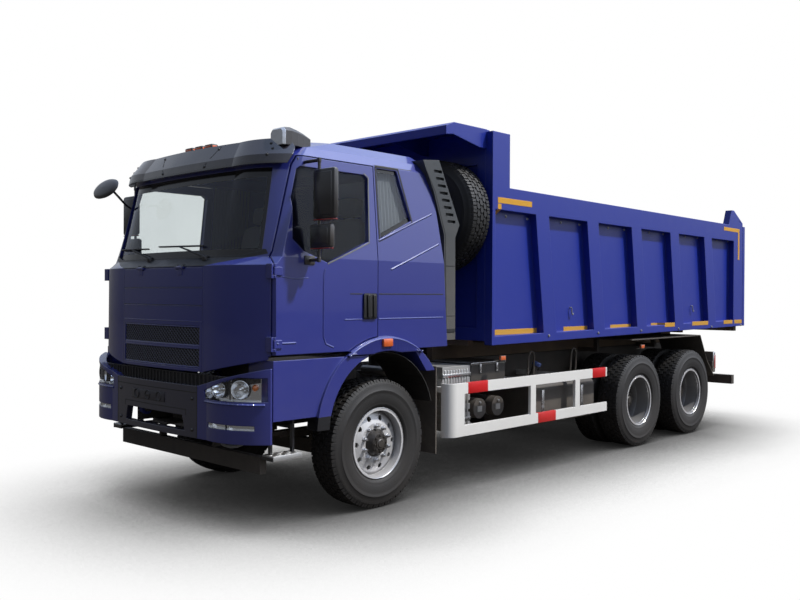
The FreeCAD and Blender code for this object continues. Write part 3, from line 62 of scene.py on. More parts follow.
# Studio. A floor that shows white to the camera and keeps the truck's shadow as a painted shadow,
# darkened from ambient occlusion, under a sky that is dark at the horizon and glows round the sun,
# which stands high behind the truck on its left.


def add_node(tree, kind, **values):
    """New node whose inputs are set by name, with an underscore for each space."""
    made = tree.nodes.new(kind)
    for name, value in values.items():
        made.inputs[name.replace("_", " ")].default_value = value
    return made


def combine(tree, operation, first, second, clamp=False):
    """Math node on two values, each a socket or a number."""
    made = tree.nodes.new("ShaderNodeMath")
    made.operation = operation
    made.use_clamp = clamp
    for index, value in enumerate((first, second)):
        if isinstance(value, (int, float)):
            made.inputs[index].default_value = value
        else:
            tree.links.new(value, made.inputs[index])
    return made.outputs[0]


floor_mesh = bpy.data.meshes.new("studio_floor")
floor_reach = 60.0
floor_mesh.from_pydata([(-floor_reach, -floor_reach, 0), (floor_reach, -floor_reach, 0),
                        (floor_reach, floor_reach, 0), (-floor_reach, floor_reach, 0)], [], [(0, 1, 2, 3)])
studio_floor = bpy.data.objects.new("studio_floor", floor_mesh)
scene.collection.objects.link(studio_floor)
floor_look = bpy.data.materials.new("floor_look")
floor_look.use_nodes = True
floor_tree = floor_look.node_tree
floor_tree.nodes.remove(floor_tree.nodes["Principled BSDF"])
floor_white_and_painted_shadow = floor_tree.nodes.new("ShaderNodeEmission")
# The floor's colour darkens with ambient occlusion: a painted shadow under the truck.
floor_shade = add_node(floor_tree, "ShaderNodeAmbientOcclusion", Distance=1.9)
floor_shade.samples = 12
floor_ramp = floor_tree.nodes.new("ShaderNodeValToRGB")
floor_ramp.color_ramp.interpolation = "EASE"
for position, tone in ((0.0, 0.006), (0.30, 0.03), (0.60, 0.20), (0.80, 0.62), (0.97, 1.0)):
    stops = floor_ramp.color_ramp.elements
    stop = stops[0] if position == 0.0 else stops[-1] if position == 0.97 else stops.new(position)
    stop.position = position
    stop.color = (tone, tone, tone, 1)
floor_tree.links.new(floor_shade.outputs["AO"], floor_ramp.inputs[0])
floor_tree.links.new(floor_ramp.outputs[0], floor_white_and_painted_shadow.inputs["Color"])
floor_grey = add_node(floor_tree, "ShaderNodeBsdfDiffuse", Color=(0.095, 0.09, 0.085, 1))
floor_path = floor_tree.nodes.new("ShaderNodeLightPath")
floor_mix = floor_tree.nodes.new("ShaderNodeMixShader")
floor_tree.links.new(floor_path.outputs["Is Camera Ray"], floor_mix.inputs[0])
floor_tree.links.new(floor_grey.outputs[0], floor_mix.inputs[1])
floor_tree.links.new(floor_white_and_painted_shadow.outputs[0], floor_mix.inputs[2])
floor_tree.links.new(floor_mix.outputs[0], floor_tree.nodes["Material Output"].inputs["Surface"])
floor_mesh.materials.append(floor_look)

sun_way = Vector((-0.62, 0.84, 1.35)).normalized()
sun = bpy.data.lights.new("sun", "SUN")
sun.energy = 4.0
sun.angle = math.radians(3.0)
sun.color = (1.0, 0.97, 0.92)
sun_holder = bpy.data.objects.new("sun", sun)
sun_holder.rotation_euler = sun_way.to_track_quat("Z", "Y").to_euler()
scene.collection.objects.link(sun_holder)

sky = bpy.data.worlds.new("studio_sky")
scene.world = sky
sky.use_nodes = True
sky_tree = sky.node_tree
sky_light = sky_tree.nodes["Background"]
sky_way = sky_tree.nodes.new("ShaderNodeTexCoord")
sky_split = sky_tree.nodes.new("ShaderNodeSeparateXYZ")
sky_tree.links.new(sky_way.outputs["Generated"], sky_split.inputs[0])
sky_height = combine(sky_tree, "MULTIPLY_ADD", sky_split.outputs["Z"], 0.5)
sky_height.node.inputs[2].default_value = 0.5
sky_ramp = sky_tree.nodes.new("ShaderNodeValToRGB")
sky_ramp.color_ramp.elements[0].position = 0.0
sky_ramp.color_ramp.elements[0].color = (0.10, 0.09, 0.085, 1)
sky_ramp.color_ramp.elements[1].position = 1.0
sky_ramp.color_ramp.elements[1].color = (0.50, 0.64, 0.95, 1)
for position, colour in ((0.49, (0.16, 0.155, 0.15, 1)), (0.53, (0.22, 0.23, 0.25, 1)),
                         (0.58, (0.52, 0.55, 0.60, 1)), (0.70, (0.62, 0.68, 0.80, 1))):
    stop = sky_ramp.color_ramp.elements.new(position)
    stop.color = colour
sky_tree.links.new(sky_height, sky_ramp.inputs[0])
sky_tree.links.new(sky_ramp.outputs[0], sky_light.inputs["Color"])
sky_side = combine(sky_tree, "MULTIPLY", sky_split.outputs["X"], -0.35)
sky_side = combine(sky_tree, "ADD", sky_side, combine(sky_tree, "MULTIPLY", sky_split.outputs["Y"], 0.25))
sky_path = sky_tree.nodes.new("ShaderNodeLightPath")
mirrored_ray = sky_path.outputs["Is Glossy Ray"]
sky_side = combine(sky_tree, "ADD", sky_side, combine(sky_tree, "MULTIPLY", mirrored_ray, 0.45))
sky_glow = sky_tree.nodes.new("ShaderNodeVectorMath")
sky_glow.operation = "DOT_PRODUCT"
sky_glow.inputs[1].default_value = sun_way
sky_tree.links.new(sky_way.outputs["Generated"], sky_glow.inputs[0])
sky_halo = combine(sky_tree, "POWER", combine(sky_tree, "MAXIMUM", sky_glow.outputs["Value"], 0.0), 3.0)
sky_halo = combine(sky_tree, "MULTIPLY", sky_halo, combine(sky_tree, "MULTIPLY", mirrored_ray, 2.6))
sky_side = combine(sky_tree, "ADD", sky_side, sky_halo)
sky_tree.links.new(combine(sky_tree, "ADD", sky_side, 0.50), sky_light.inputs["Strength"])
sky_white = add_node(sky_tree, "ShaderNodeBackground", Color=(1, 1, 1, 1))
sky_seen = combine(sky_tree, "ADD", sky_path.outputs["Is Camera Ray"],
                   sky_path.outputs["Is Transmission Ray"], True)
sky_mix = sky_tree.nodes.new("ShaderNodeMixShader")
sky_tree.links.new(sky_seen, sky_mix.inputs[0])
sky_tree.links.new(sky_light.outputs[0], sky_mix.inputs[1])
sky_tree.links.new(sky_white.outputs[0], sky_mix.inputs[2])
sky_tree.links.new(sky_mix.outputs[0], sky_tree.nodes["World Output"].inputs["Surface"])

# Chassis. Ladder frame, axles, springs and drive line of black-painted steel and castings,
# coated from below with pale dried road dust.


def make_group(name, inputs, outputs):
    """Empty node group with its sockets, each given as (name, kind, value)."""
    group = bpy.data.node_groups.new(name, "ShaderNodeTree")
    for label, kind, value in inputs:
        socket = group.interface.new_socket(name=label, in_out="INPUT", socket_type="NodeSocket" + kind)
        socket.default_value = value
    for label, kind in outputs:
        group.interface.new_socket(name=label, in_out="OUTPUT", socket_type="NodeSocket" + kind)
    return group, group.nodes.new("NodeGroupInput"), group.nodes.new("NodeGroupOutput")


def make_dust_group():
    """Road dust that thickens towards the ground and lies in clouds and fine specks."""
    group, given, result = make_group(
        "road_dust",
        [("Colour", "Color", (0, 0, 0, 1)), ("Dust", "Color", (0.2, 0.17, 0.14, 1)),
         ("Low", "Float", 0.4), ("High", "Float", 1.4), ("Amount", "Float", 0.5)],
        [("Colour", "Color"), ("Mask", "Float")])
    links = group.links
    place = group.nodes.new("ShaderNodeTexCoord").outputs["Object"]
    split = group.nodes.new("ShaderNodeSeparateXYZ")
    links.new(place, split.inputs[0])
    fall = add_node(group, "ShaderNodeMapRange")
    links.new(split.outputs["Z"], fall.inputs["Value"])
    links.new(given.outputs["High"], fall.inputs["From Min"])
    links.new(given.outputs["Low"], fall.inputs["From Max"])
    clouds = add_node(group, "ShaderNodeTexNoise", Scale=3.5, Detail=7.0, Roughness=0.65)
    links.new(place, clouds.inputs["Vector"])
    specks = add_node(group, "ShaderNodeTexNoise", Scale=90.0, Detail=4.0, Roughness=0.7)
    links.new(place, specks.inputs["Vector"])
    cover = combine(group, "MULTIPLY", clouds.outputs[0], combine(group, "ADD", specks.outputs[0], 0.55))
    cover = combine(group, "MULTIPLY", cover, combine(group, "ADD", fall.outputs[0], 0.16))
    cover = combine(group, "MULTIPLY", cover, combine(group, "MULTIPLY", given.outputs["Amount"], 2.4), True)
    mix = group.nodes.new("ShaderNodeMix")
    mix.data_type = "RGBA"
    links.new(cover, mix.inputs["Factor"])
    links.new(given.outputs["Colour"], mix.inputs[6])
    links.new(given.outputs["Dust"], mix.inputs[7])
    links.new(mix.outputs[2], result.inputs["Colour"])
    links.new(cover, result.inputs["Mask"])
    return group


def make_surface_group():
    """Rounded edges and fine relief, as a normal, with the relief's own pattern as a value."""
    group, given, result = make_group(
        "fine_surface",
        [("Radius", "Float", 0.004), ("Scale", "Float", 60.0), ("Relief", "Float", 0.1)],
        [("Normal", "Vector"), ("Pattern", "Float")])
    links = group.links
    place = group.nodes.new("ShaderNodeTexCoord").outputs["Object"]
    edge = group.nodes.new("ShaderNodeBevel")
    edge.samples = 4
    links.new(given.outputs["Radius"], edge.inputs["Radius"])
    grain = add_node(group, "ShaderNodeTexNoise", Detail=3.0)
    links.new(place, grain.inputs["Vector"])
    links.new(given.outputs["Scale"], grain.inputs["Scale"])
    bump = add_node(group, "ShaderNodeBump", Distance=0.004)
    links.new(given.outputs["Relief"], bump.inputs["Strength"])
    links.new(grain.outputs[0], bump.inputs["Height"])
    links.new(edge.outputs[0], bump.inputs["Normal"])
    links.new(bump.outputs[0], result.inputs["Normal"])
    links.new(grain.outputs[0], result.inputs["Pattern"])
    return group


dust_group = make_dust_group()
surface_group = make_surface_group()


def finish(name, colour, roughness, dust=0.3, low=0.4, high=1.5, dust_colour=(0.23, 0.195, 0.16, 1),
           metallic=0.0, coat=0.0, radius=0.004, grain=60.0, relief=0.08):
    """Material with rounded edges, fine relief and road dust over one base colour."""
    made = bpy.data.materials.new(name)
    made.use_nodes = True
    tree = made.node_tree
    shader = tree.nodes["Principled BSDF"]
    cover = tree.nodes.new("ShaderNodeGroup")
    cover.node_tree = dust_group
    cover.name = "dust"
    for label, value in (("Colour", colour), ("Dust", dust_colour), ("Low", low), ("High", high),
                         ("Amount", dust)):
        cover.inputs[label].default_value = value
    skin = tree.nodes.new("ShaderNodeGroup")
    skin.node_tree = surface_group
    skin.name = "skin"
    for label, value in (("Radius", radius), ("Scale", grain), ("Relief", relief)):
        skin.inputs[label].default_value = value
    tree.links.new(cover.outputs["Colour"], shader.inputs["Base Color"])
    tree.links.new(skin.outputs["Normal"], shader.inputs["Normal"])
    spread = combine(tree, "MULTIPLY_ADD", skin.outputs["Pattern"], 0.16)
    spread.node.inputs[2].default_value = roughness - 0.08
    spread = combine(tree, "ADD", spread, combine(tree, "MULTIPLY", cover.outputs["Mask"], 0.5), True)
    tree.links.new(spread, shader.inputs["Roughness"])
    if metallic:
        shader.inputs["Metallic"].default_value = metallic
    if coat:
        clean = combine(tree, "SUBTRACT", coat, combine(tree, "MULTIPLY", cover.outputs["Mask"], 1.2), True)
        tree.links.new(clean, shader.inputs["Coat Weight"])
        shader.inputs["Coat Roughness"].default_value = 0.04
        tree.links.new(skin.outputs["Normal"], shader.inputs["Coat Normal"])
    return made


def dress(material, *nodes):
    """Gives CAD nodes one material."""
    for name in nodes:
        slots = parts[name].data.materials
        slots.clear()
        slots.append(material)


frame_black = finish("frame_black", (0.009, 0.009, 0.010, 1), 0.5, 0.28, 0.3, 1.5, relief=0.2)
dress(frame_black, "chassis_frame", "underrun_bars")
casting = finish("casting", (0.014, 0.013, 0.012, 1), 0.5, 0.45, 0.2, 1.2, grain=120.0, relief=0.5)
dress(casting, "axles", "knuckle_left", "knuckle_right", "powertrain")
spring_steel = finish("spring_steel", (0.035, 0.028, 0.023, 1), 0.5, 0.7, 0.2, 1.1, metallic=0.4, relief=0.3)
dress(spring_steel, "leaf_springs")

# Tyres. Ten road tyres and the spare, moulded rubber on a steel casing, with chunky tread blocks,
# slotted shoulders and raised rings on the sidewall, brown with dried dust.
front_axle_x = 2.930
tyre_radius = 0.542
tread_pitches = 48


def add_lathe(bm, profile, turns, centre, index=0, axis="Y"):
    """Rings of faces about an axis, from an open list of (radius, along) corners."""
    rings = []
    for step in range(turns):
        angle = 2 * math.pi * step / turns
        ring = []
        for radius, along in profile:
            first = radius * math.cos(angle)
            second = radius * math.sin(angle)
            offset = (first, along, second) if axis == "Y" else (along, first, second)
            ring.append(bm.verts.new(Vector(centre) + Vector(offset)))
        rings.append(ring)
    for step in range(turns):
        this = rings[step]
        other = rings[(step + 1) % turns]
        for corner in range(len(profile) - 1):
            face = bm.faces.new((this[corner], this[corner + 1], other[corner + 1], other[corner]))
            face.material_index = index


def add_shell(bm, low, high, index=0):
    """Closed block between two rings of corners that match one another."""
    bottom = [bm.verts.new(corner) for corner in low]
    top = [bm.verts.new(corner) for corner in high]
    faces = [bm.faces.new(bottom), bm.faces.new(top)]
    count = len(low)
    for corner in range(count):
        after = (corner + 1) % count
        faces.append(bm.faces.new((bottom[corner], bottom[after], top[after], top[corner])))
    for face in faces:
        face.material_index = index
    return faces


def piece(name, bm, body, materials, smooth=35.0):
    """Finished object from a bmesh drawn with X measured from the front axle, riding on a CAD body."""
    bmesh.ops.translate(bm, vec=(front_axle_x, 0, 0), verts=bm.verts)
    bmesh.ops.recalc_face_normals(bm, faces=bm.faces)
    mesh = bpy.data.meshes.new(name)
    bm.to_mesh(mesh)
    bm.free()
    mesh.polygons.foreach_set("use_smooth", [True] * len(mesh.polygons))
    mesh.set_sharp_from_angle(angle=math.radians(smooth))
    for material in materials:
        mesh.materials.append(material)
    made = bpy.data.objects.new(name, mesh)
    scene.collection.objects.link(made)
    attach(made, body)
    return made


def add_tyre(bm, centre, axis="Y"):
    """Casing with sidewall rings, three rows of six-sided blocks and two rows of shoulder blocks."""
    half = [(0.287, 0.113), (0.301, 0.1145), (0.309, 0.127), (0.327, 0.136), (0.333, 0.1385), (0.340, 0.1385),
            (0.345, 0.140), (0.372, 0.1455), (0.410, 0.148), (0.430, 0.1475), (0.434, 0.1495),
            (0.446, 0.1495), (0.450, 0.146), (0.488, 0.140), (0.508, 0.134), (0.525, 0.118), (0.529, 0.06)]
    profile = half + [(0.530, 0.0)] + [(radius, -along) for radius, along in reversed(half)]
    add_lathe(bm, profile, 88, centre, 0, axis)
    pitch = 2 * math.pi / tread_pitches

    def spot(angle, along, radius):
        first = radius * math.cos(angle)
        second = radius * math.sin(angle)
        offset = (first, along, second) if axis == "Y" else (along, first, second)
        return Vector(centre) + Vector(offset)

    for step in range(tread_pitches):
        for row, middle in enumerate((-0.048, 0.0, 0.048)):
            angle = (step + 0.5 * (row % 2)) * pitch
            outline = [(-0.30, -0.0205), (0.30, -0.0205), (0.43, 0.0), (0.30, 0.0205), (-0.30, 0.0205),
                       (-0.43, 0.0)]
            low = [spot(angle + turn * pitch, middle + along, 0.527) for turn, along in outline]
            high = [spot(angle + turn * pitch * 0.94, middle + along * 0.94, 0.5415)
                    for turn, along in outline]
            add_shell(bm, low, high)
        for side in (-1, 1):
            angle = (step + 0.5) * pitch
            for lean in (-0.22, 0.22):
                edge = [(lean - 0.18, 0.0765, 0.5405), (lean + 0.18, 0.0765, 0.5405),
                        (lean + 0.18, 0.121, 0.5365), (lean - 0.18, 0.121, 0.5365)]
                root = [(lean - 0.19, 0.0755, 0.524), (lean + 0.19, 0.0755, 0.524),
                        (lean + 0.19, 0.1375, 0.499), (lean - 0.19, 0.1375, 0.499)]
                low = [spot(angle + turn * pitch, side * along, radius) for turn, along, radius in root]
                high = [spot(angle + turn * pitch, side * along, radius) for turn, along, radius in edge]
                add_shell(bm, low, high)


rubber = finish("tyre_rubber", (0.0045, 0.0042, 0.004, 1), 0.6, 0.22, -0.3, 1.5, (0.05, 0.040, 0.032, 1),
                radius=0.002, grain=140.0, relief=0.25)
wheel_stations = (("front_left", 0.0, (1.020,)), ("front_right", 0.0, (-1.020,)),
                  ("middle_left", -4.300, (1.092, 0.756)), ("middle_right", -4.300, (-1.092, -0.756)),
                  ("rear_left", -5.650, (1.092, 0.756)), ("rear_right", -5.650, (-1.092, -0.756)))
for name, x, places in wheel_stations:
    front = name.startswith("front")
    bm = bmesh.new()
    for y in places:
        add_tyre(bm, (x, y, tyre_radius))
    made = piece(name + "_tread", bm, name + ("_wheel" if front else "_wheels"), [rubber])
    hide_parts(name + ("_tyre" if front else "_tyres"))

# Wheels. Pressed steel rims in silver paint: domed discs with a black hub and a dark ring of
# painted shade round the disc in front, deep dishes darkened with painted shade and pale double
# lips behind, each held by ten bright nuts round the hub.


def rim_paint_and_painted_shade(name, centre, bands, axis="Y"):
    """Painted steel whose tone changes in rings about the wheel's centre, given as (radius, tone); the darker
    rings in recesses and dishes are painted shade.
    """
    made = finish(name, (0.4, 0.4, 0.41, 1), 0.36, 0.14, -0.4, 1.4, metallic=0.35, radius=0.003, relief=0.12)
    tree = made.node_tree
    place = tree.nodes.new("ShaderNodeTexCoord")
    away = tree.nodes.new("ShaderNodeVectorMath")
    away.operation = "SUBTRACT"
    away.inputs[1].default_value = (centre[0] + front_axle_x, centre[1], centre[2])
    tree.links.new(place.outputs["Object"], away.inputs[0])
    flat = tree.nodes.new("ShaderNodeVectorMath")
    flat.operation = "MULTIPLY"
    flat.inputs[1].default_value = (1, 0, 1) if axis == "Y" else (0, 1, 1)
    tree.links.new(away.outputs[0], flat.inputs[0])
    reach = tree.nodes.new("ShaderNodeVectorMath")
    reach.operation = "LENGTH"
    tree.links.new(flat.outputs[0], reach.inputs[0])
    ramp = tree.nodes.new("ShaderNodeValToRGB")
    scale = 0.32
    marks = ramp.color_ramp.elements
    for index, (radius, tone) in enumerate(bands):
        mark = marks[index] if index < 2 else marks.new(1.0)
        mark.position = radius / scale
        mark.color = (tone, tone, tone * 1.02, 1)
    tree.links.new(combine(tree, "DIVIDE", reach.outputs["Value"], scale), ramp.inputs[0])
    tree.links.new(ramp.outputs[0], tree.nodes["dust"].inputs["Colour"])
    return made


# Dark rings here are painted shade: the recess round the front disc and the deep rear dish.
front_paint_and_shade_bands = [(0.117, 0.012), (0.1195, 0.62), (0.240, 0.60), (0.256, 0.22), (0.270, 0.16), (0.277, 0.78)]
rear_paint_and_shade_bands = [(0.118, 0.012), (0.1205, 0.06), (0.245, 0.05), (0.262, 0.10), (0.272, 0.14), (0.279, 0.66)]
front_rim_look = rim_paint_and_painted_shade("front_rim_silver", (0.0, 0.0, tyre_radius), front_paint_and_shade_bands)
dress(front_rim_look, "front_left_rim", "front_right_rim")
for name, x in (("middle", -4.300), ("rear", -5.650)):
    look = rim_paint_and_painted_shade(name + "_rim_silver", (x, 0.0, tyre_radius), rear_paint_and_shade_bands)
    dress(look, name + "_left_rims", name + "_right_rims")


def add_rod(bm, start, end, radius, sides=12, index=0, end_radius=None):
    """Straight rod between two points, tapered when its end has a radius of its own."""
    start = Vector(start)
    end = Vector(end)
    spin = (end - start).to_track_quat("Z", "Y").to_matrix()
    last = radius if end_radius is None else end_radius
    rings = []
    for place, size in ((start, radius), (end, last)):
        ring = []
        for step in range(sides):
            angle = 2 * math.pi * step / sides
            ring.append(place + spin @ Vector((size * math.cos(angle), size * math.sin(angle), 0)))
        rings.append(ring)
    return add_shell(bm, rings[0], rings[1], index)


bright_steel = finish("bright_steel", (0.62, 0.62, 0.63, 1), 0.22, 0.2, -0.4, 1.2, metallic=1.0,
                      radius=0.0015)
hub_black = finish("hub_black", (0.01, 0.01, 0.011, 1), 0.35, 0.2, -0.2, 1.2, radius=0.002)
for name, x, places in wheel_stations:
    front = name.startswith("front")
    side = 1 if places[0] > 0 else -1
    face_y = places[0] + side * 0.084 if front else side * (0.924 + 0.016)
    cap_y = places[0] + side * 0.139 if front else side * (0.924 + 0.152)
    ring = 0.142 if front else 0.147
    bm = bmesh.new()
    for step in range(10):
        angle = 2 * math.pi * (step + 0.5) / 10
        place = (x + ring * math.cos(angle), tyre_radius + ring * math.sin(angle))
        add_rod(bm, (place[0], face_y - side * 0.002, place[1]), (place[0], face_y + side * 0.006, place[1]),
                0.0195, 14)
        add_rod(bm, (place[0], face_y, place[1]), (place[0], face_y + side * 0.026, place[1]), 0.016, 6, 0,
                0.015)
        add_rod(bm, (place[0], face_y + side * 0.02, place[1]), (place[0], face_y + side * 0.038, place[1]),
                0.0095, 10)
    for step in range(8):
        angle = 2 * math.pi * step / 8
        place = (x + 0.066 * math.cos(angle), tyre_radius + 0.066 * math.sin(angle))
        add_rod(bm, (place[0], cap_y - side * 0.012, place[1]), (place[0], cap_y + side * 0.010, place[1]),
                0.0085, 6, 1)
    profile = [(0.0, 0.014), (0.030, 0.013), (0.036, 0.007), (0.048, 0.006), (0.050, -0.006)]
    add_lathe(bm, [(radius, side * along) for radius, along in profile], 32, (x, cap_y, tyre_radius), 1)
    lip_y = places[0] + side * 0.1245
    profile = [(0.289, -0.004), (0.294, 0.0015), (0.3005, 0.0005), (0.3012, -0.006)]
    add_lathe(bm, [(radius, side * along) for radius, along in profile], 72, (x, lip_y, tyre_radius))
    if not front:
        inner_y = places[0] + side * 0.106
        profile = [(0.270, -0.010), (0.2715, 0.0), (0.2755, 0.001), (0.277, -0.012)]
        add_lathe(bm, [(radius, side * along) for radius, along in profile], 72, (x, inner_y, tyre_radius))
    add_rod(bm, (x + 0.215, places[0] + side * 0.05, tyre_radius + 0.165),
            (x + 0.200, places[0] + side * 0.115, tyre_radius + 0.155), 0.005, 8)
    body = name + ("_wheel" if front else "_wheels")
    piece(name + "_nuts", bm, body, [bright_steel, hub_black])

# Spare wheel. The same tyre on a dished rim, bolted to its carrier behind the cab by ten nuts,
# with its black hub plate and the grey rim's flanges turned towards the cab.
spare_centre = (-1.252, 0.700, 2.550)
bm = bmesh.new()
add_tyre(bm, spare_centre, "X")
rim_profile = [(0.0465, 0.070), (0.0465, 0.084), (0.164, 0.084), (0.244, 0.060), (0.280, 0.046),
               (0.286, 0.112), (0.300, 0.114), (0.300, 0.124), (0.274, 0.124), (0.274, 0.046)]
flip_profile = [(0.274, 0.03), (0.274, -0.124), (0.300, -0.124), (0.300, -0.114), (0.286, -0.112)]
add_lathe(bm, rim_profile, 72, spare_centre, 1, "X")
add_lathe(bm, flip_profile, 72, spare_centre, 1, "X")
add_lathe(bm, [(0.0465, 0.07), (0.18, 0.07), (0.236, 0.044), (0.274, 0.032)], 72, spare_centre, 1, "X")
hub_profile = [(0.0, -0.038), (0.118, -0.04), (0.118, 0.078), (0.084, 0.136), (0.0, 0.142)]
add_lathe(bm, hub_profile, 48, spare_centre, 2, "X")
spare_nut_ring = 0.212
for step in range(10):
    angle = 2 * math.pi * (step + 0.5) / 10
    y = spare_centre[1] + spare_nut_ring * math.cos(angle)
    z = spare_centre[2] + spare_nut_ring * math.sin(angle)
    add_rod(bm, (spare_centre[0] + 0.050, y, z), (spare_centre[0] + 0.0785, y, z), 0.023, 16, 2)
spare_bands = [(0.10, 0.30), (0.2, 0.42), (0.262, 0.36), (0.28, 0.6)]
spare_rim = rim_paint_and_painted_shade("spare_rim_silver", spare_centre, spare_bands, "X")
spare = piece("spare_wheel_dressed", bm, "chassis", [rubber, spare_rim, hub_black])
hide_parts("spare_wheel")

# Cab paint. Pressed steel doors, corners and roof, and moulded bumper and step panels, in one
# violet-blue gloss paint under clear lacquer, with a little dust along the lower edges.
cab_blue = finish("cab_blue", (0.017, 0.027, 0.235, 1), 0.36, 0.05, 0.75, 1.65, coat=0.9, radius=0.008,
                  grain=9.0, relief=0.04)
black_trim = finish("black_trim", (0.012, 0.012, 0.013, 1), 0.5, 0.35, 0.5, 1.9, grain=260.0, relief=0.35)


def masked(tree, first, second):
    """Product of two masks."""
    return combine(tree, "MULTIPLY", first, second)


def two_tone(name, second_colour, region):
    """Cab paint with another colour over a region, and the mask of that region."""
    made = cab_blue.copy()
    made.name = name
    tree = made.node_tree
    split = tree.nodes.new("ShaderNodeSeparateXYZ")
    tree.links.new(tree.nodes.new("ShaderNodeTexCoord").outputs["Object"], split.inputs[0])
    mask = region(tree, *(split.outputs[axis] for axis in ("X", "Y", "Z")))
    mix = tree.nodes.new("ShaderNodeMix")
    mix.data_type = "RGBA"
    tree.links.new(mask, mix.inputs["Factor"])
    tree.links.new(tree.nodes["dust"].outputs["Colour"], mix.inputs[6])
    mix.inputs[7].default_value = second_colour
    tree.links.new(mix.outputs[2], tree.nodes["Principled BSDF"].inputs["Base Color"])
    return made, mask


def trough(tree, x, y, z):
    """Trough that lies between the front panel and the windscreen, and rises past the panel's ends."""
    side = combine(tree, "ABSOLUTE", y, 0.0)
    past_end = combine(tree, "MAXIMUM", combine(tree, "SUBTRACT", side, 0.60), 0.0)
    rise = combine(tree, "MULTIPLY", past_end, 0.17)
    above = combine(tree, "GREATER_THAN", z, combine(tree, "ADD", rise, 2.0035))
    below = combine(tree, "LESS_THAN", z, 2.128)
    ahead = combine(tree, "GREATER_THAN", x, 1.155 + front_axle_x)
    return masked(tree, masked(tree, above, below), ahead)


def below_entry_panels(tree, _x, _y, z):
    """Straps and rungs that hang below the entry panels."""
    return combine(tree, "LESS_THAN", z, 0.845)


shell_blue, trough_mask = two_tone("cab_blue_with_trough", (0.003, 0.003, 0.0035, 1), trough)
shell_tree = shell_blue.node_tree
shell_gloss = combine(shell_tree, "MULTIPLY", combine(shell_tree, "SUBTRACT", 1.0, trough_mask), 0.9)
shell_tree.links.new(shell_gloss, shell_tree.nodes["Principled BSDF"].inputs["Coat Weight"])
dress(shell_blue, "cab_shell")
steps_blue, _ = two_tone("cab_blue_with_black_steps", (0.006, 0.006, 0.008, 1), below_entry_panels)
dress(steps_blue, "entry_steps")
dress(cab_blue, "door_left", "door_right", "front_panel")

# Glass. Bonded windscreen with a black printed border, whose deep top strip is also painted shade
# under the visor, fixed quarter windows and winding door windows, in lightly tinted safety glass that
# shows the seats and the sky behind the truck.


def glass_look(name, tint, border=None, mirrored=0.055):
    """Clear glass that lets the view through and mirrors the sky, with a printed border where asked."""
    made = bpy.data.materials.new(name)
    made.use_nodes = True
    tree = made.node_tree
    tree.nodes.remove(tree.nodes["Principled BSDF"])
    clear = add_node(tree, "ShaderNodeBsdfTransparent", Color=tint)
    shine = add_node(tree, "ShaderNodeBsdfGlossy", Color=(0.9, 0.93, 1.0, 1), Roughness=0.02)
    smear = add_node(tree, "ShaderNodeTexNoise", Scale=2.2, Detail=5.0)
    place = tree.nodes.new("ShaderNodeTexCoord").outputs["Object"]
    tree.links.new(place, smear.inputs["Vector"])
    film = add_node(tree, "ShaderNodeBsdfDiffuse", Color=(0.42, 0.42, 0.42, 1))
    facing = add_node(tree, "ShaderNodeLayerWeight", Blend=0.5)
    edge = combine(tree, "MULTIPLY_ADD", combine(tree, "POWER", facing.outputs["Facing"], 5.0), 0.9)
    edge.node.inputs[2].default_value = mirrored
    outside = combine(tree, "SUBTRACT", 1.0, tree.nodes.new("ShaderNodeNewGeometry").outputs["Backfacing"])
    mix = tree.nodes.new("ShaderNodeMixShader")
    tree.links.new(combine(tree, "MULTIPLY", edge, outside, True), mix.inputs[0])
    tree.links.new(clear.outputs[0], mix.inputs[1])
    tree.links.new(shine.outputs[0], mix.inputs[2])
    dirty = tree.nodes.new("ShaderNodeMixShader")
    haze = combine(tree, "MULTIPLY", combine(tree, "SUBTRACT", smear.outputs[0], 0.42, True), 0.06, True)
    tree.links.new(haze, dirty.inputs[0])
    tree.links.new(mix.outputs[0], dirty.inputs[1])
    tree.links.new(film.outputs[0], dirty.inputs[2])
    last = dirty.outputs[0]
    if border:
        split = tree.nodes.new("ShaderNodeSeparateXYZ")
        tree.links.new(place, split.inputs[0])
        ink = tree.nodes.new("ShaderNodeBsdfPrincipled")
        ink.inputs["Base Color"].default_value = (0.006, 0.006, 0.007, 1)
        ink.inputs["Roughness"].default_value = 0.12
        over = tree.nodes.new("ShaderNodeMixShader")
        tree.links.new(border(tree, split), over.inputs[0])
        tree.links.new(last, over.inputs[1])
        tree.links.new(ink.outputs[0], over.inputs[2])
        last = over.outputs[0]
    tree.links.new(last, tree.nodes["Material Output"].inputs["Surface"])
    return made


def cab_glass_border_and_shade(tree, split):
    """Windscreen's black border, its deep top strip also painted shade under the visor, and a narrow one
    round each quarter window.
    """
    x, y, z = (split.outputs[axis] for axis in ("X", "Y", "Z"))
    side = combine(tree, "ABSOLUTE", y, 0.0)
    lean = combine(tree, "MULTIPLY", combine(tree, "SUBTRACT", z, 2.12), 0.086)
    edge = combine(tree, "GREATER_THAN", combine(tree, "ADD", side, lean), 1.022)
    low = combine(tree, "LESS_THAN", z, 2.135)
    # Above this height the border also stands in for painted shade under the visor.
    high = combine(tree, "GREATER_THAN", z, 2.688)
    frame_mask = combine(tree, "MAXIMUM", edge, combine(tree, "MAXIMUM", low, high))
    ahead = combine(tree, "GREATER_THAN", x, 0.7 + front_axle_x)
    screen = masked(tree, frame_mask, ahead)
    behind = combine(tree, "SUBTRACT", 1.0, ahead)
    rim = combine(tree, "GREATER_THAN", z, 2.808)
    foot = combine(tree, "LESS_THAN", combine(tree, "ADD", z, combine(tree, "MULTIPLY", x, 0.447)), 3.630)
    return combine(tree, "MAXIMUM", screen, masked(tree, behind, combine(tree, "MAXIMUM", rim, foot)))


dress(glass_look("cab_glass_clear", (0.91, 0.93, 0.93, 1), cab_glass_border_and_shade, 0.045), "cab_glass")
door_glass = glass_look("door_glass_clear", (0.88, 0.90, 0.90, 1), None, 0.018)
dress(door_glass, "door_left_glass", "door_right_glass")

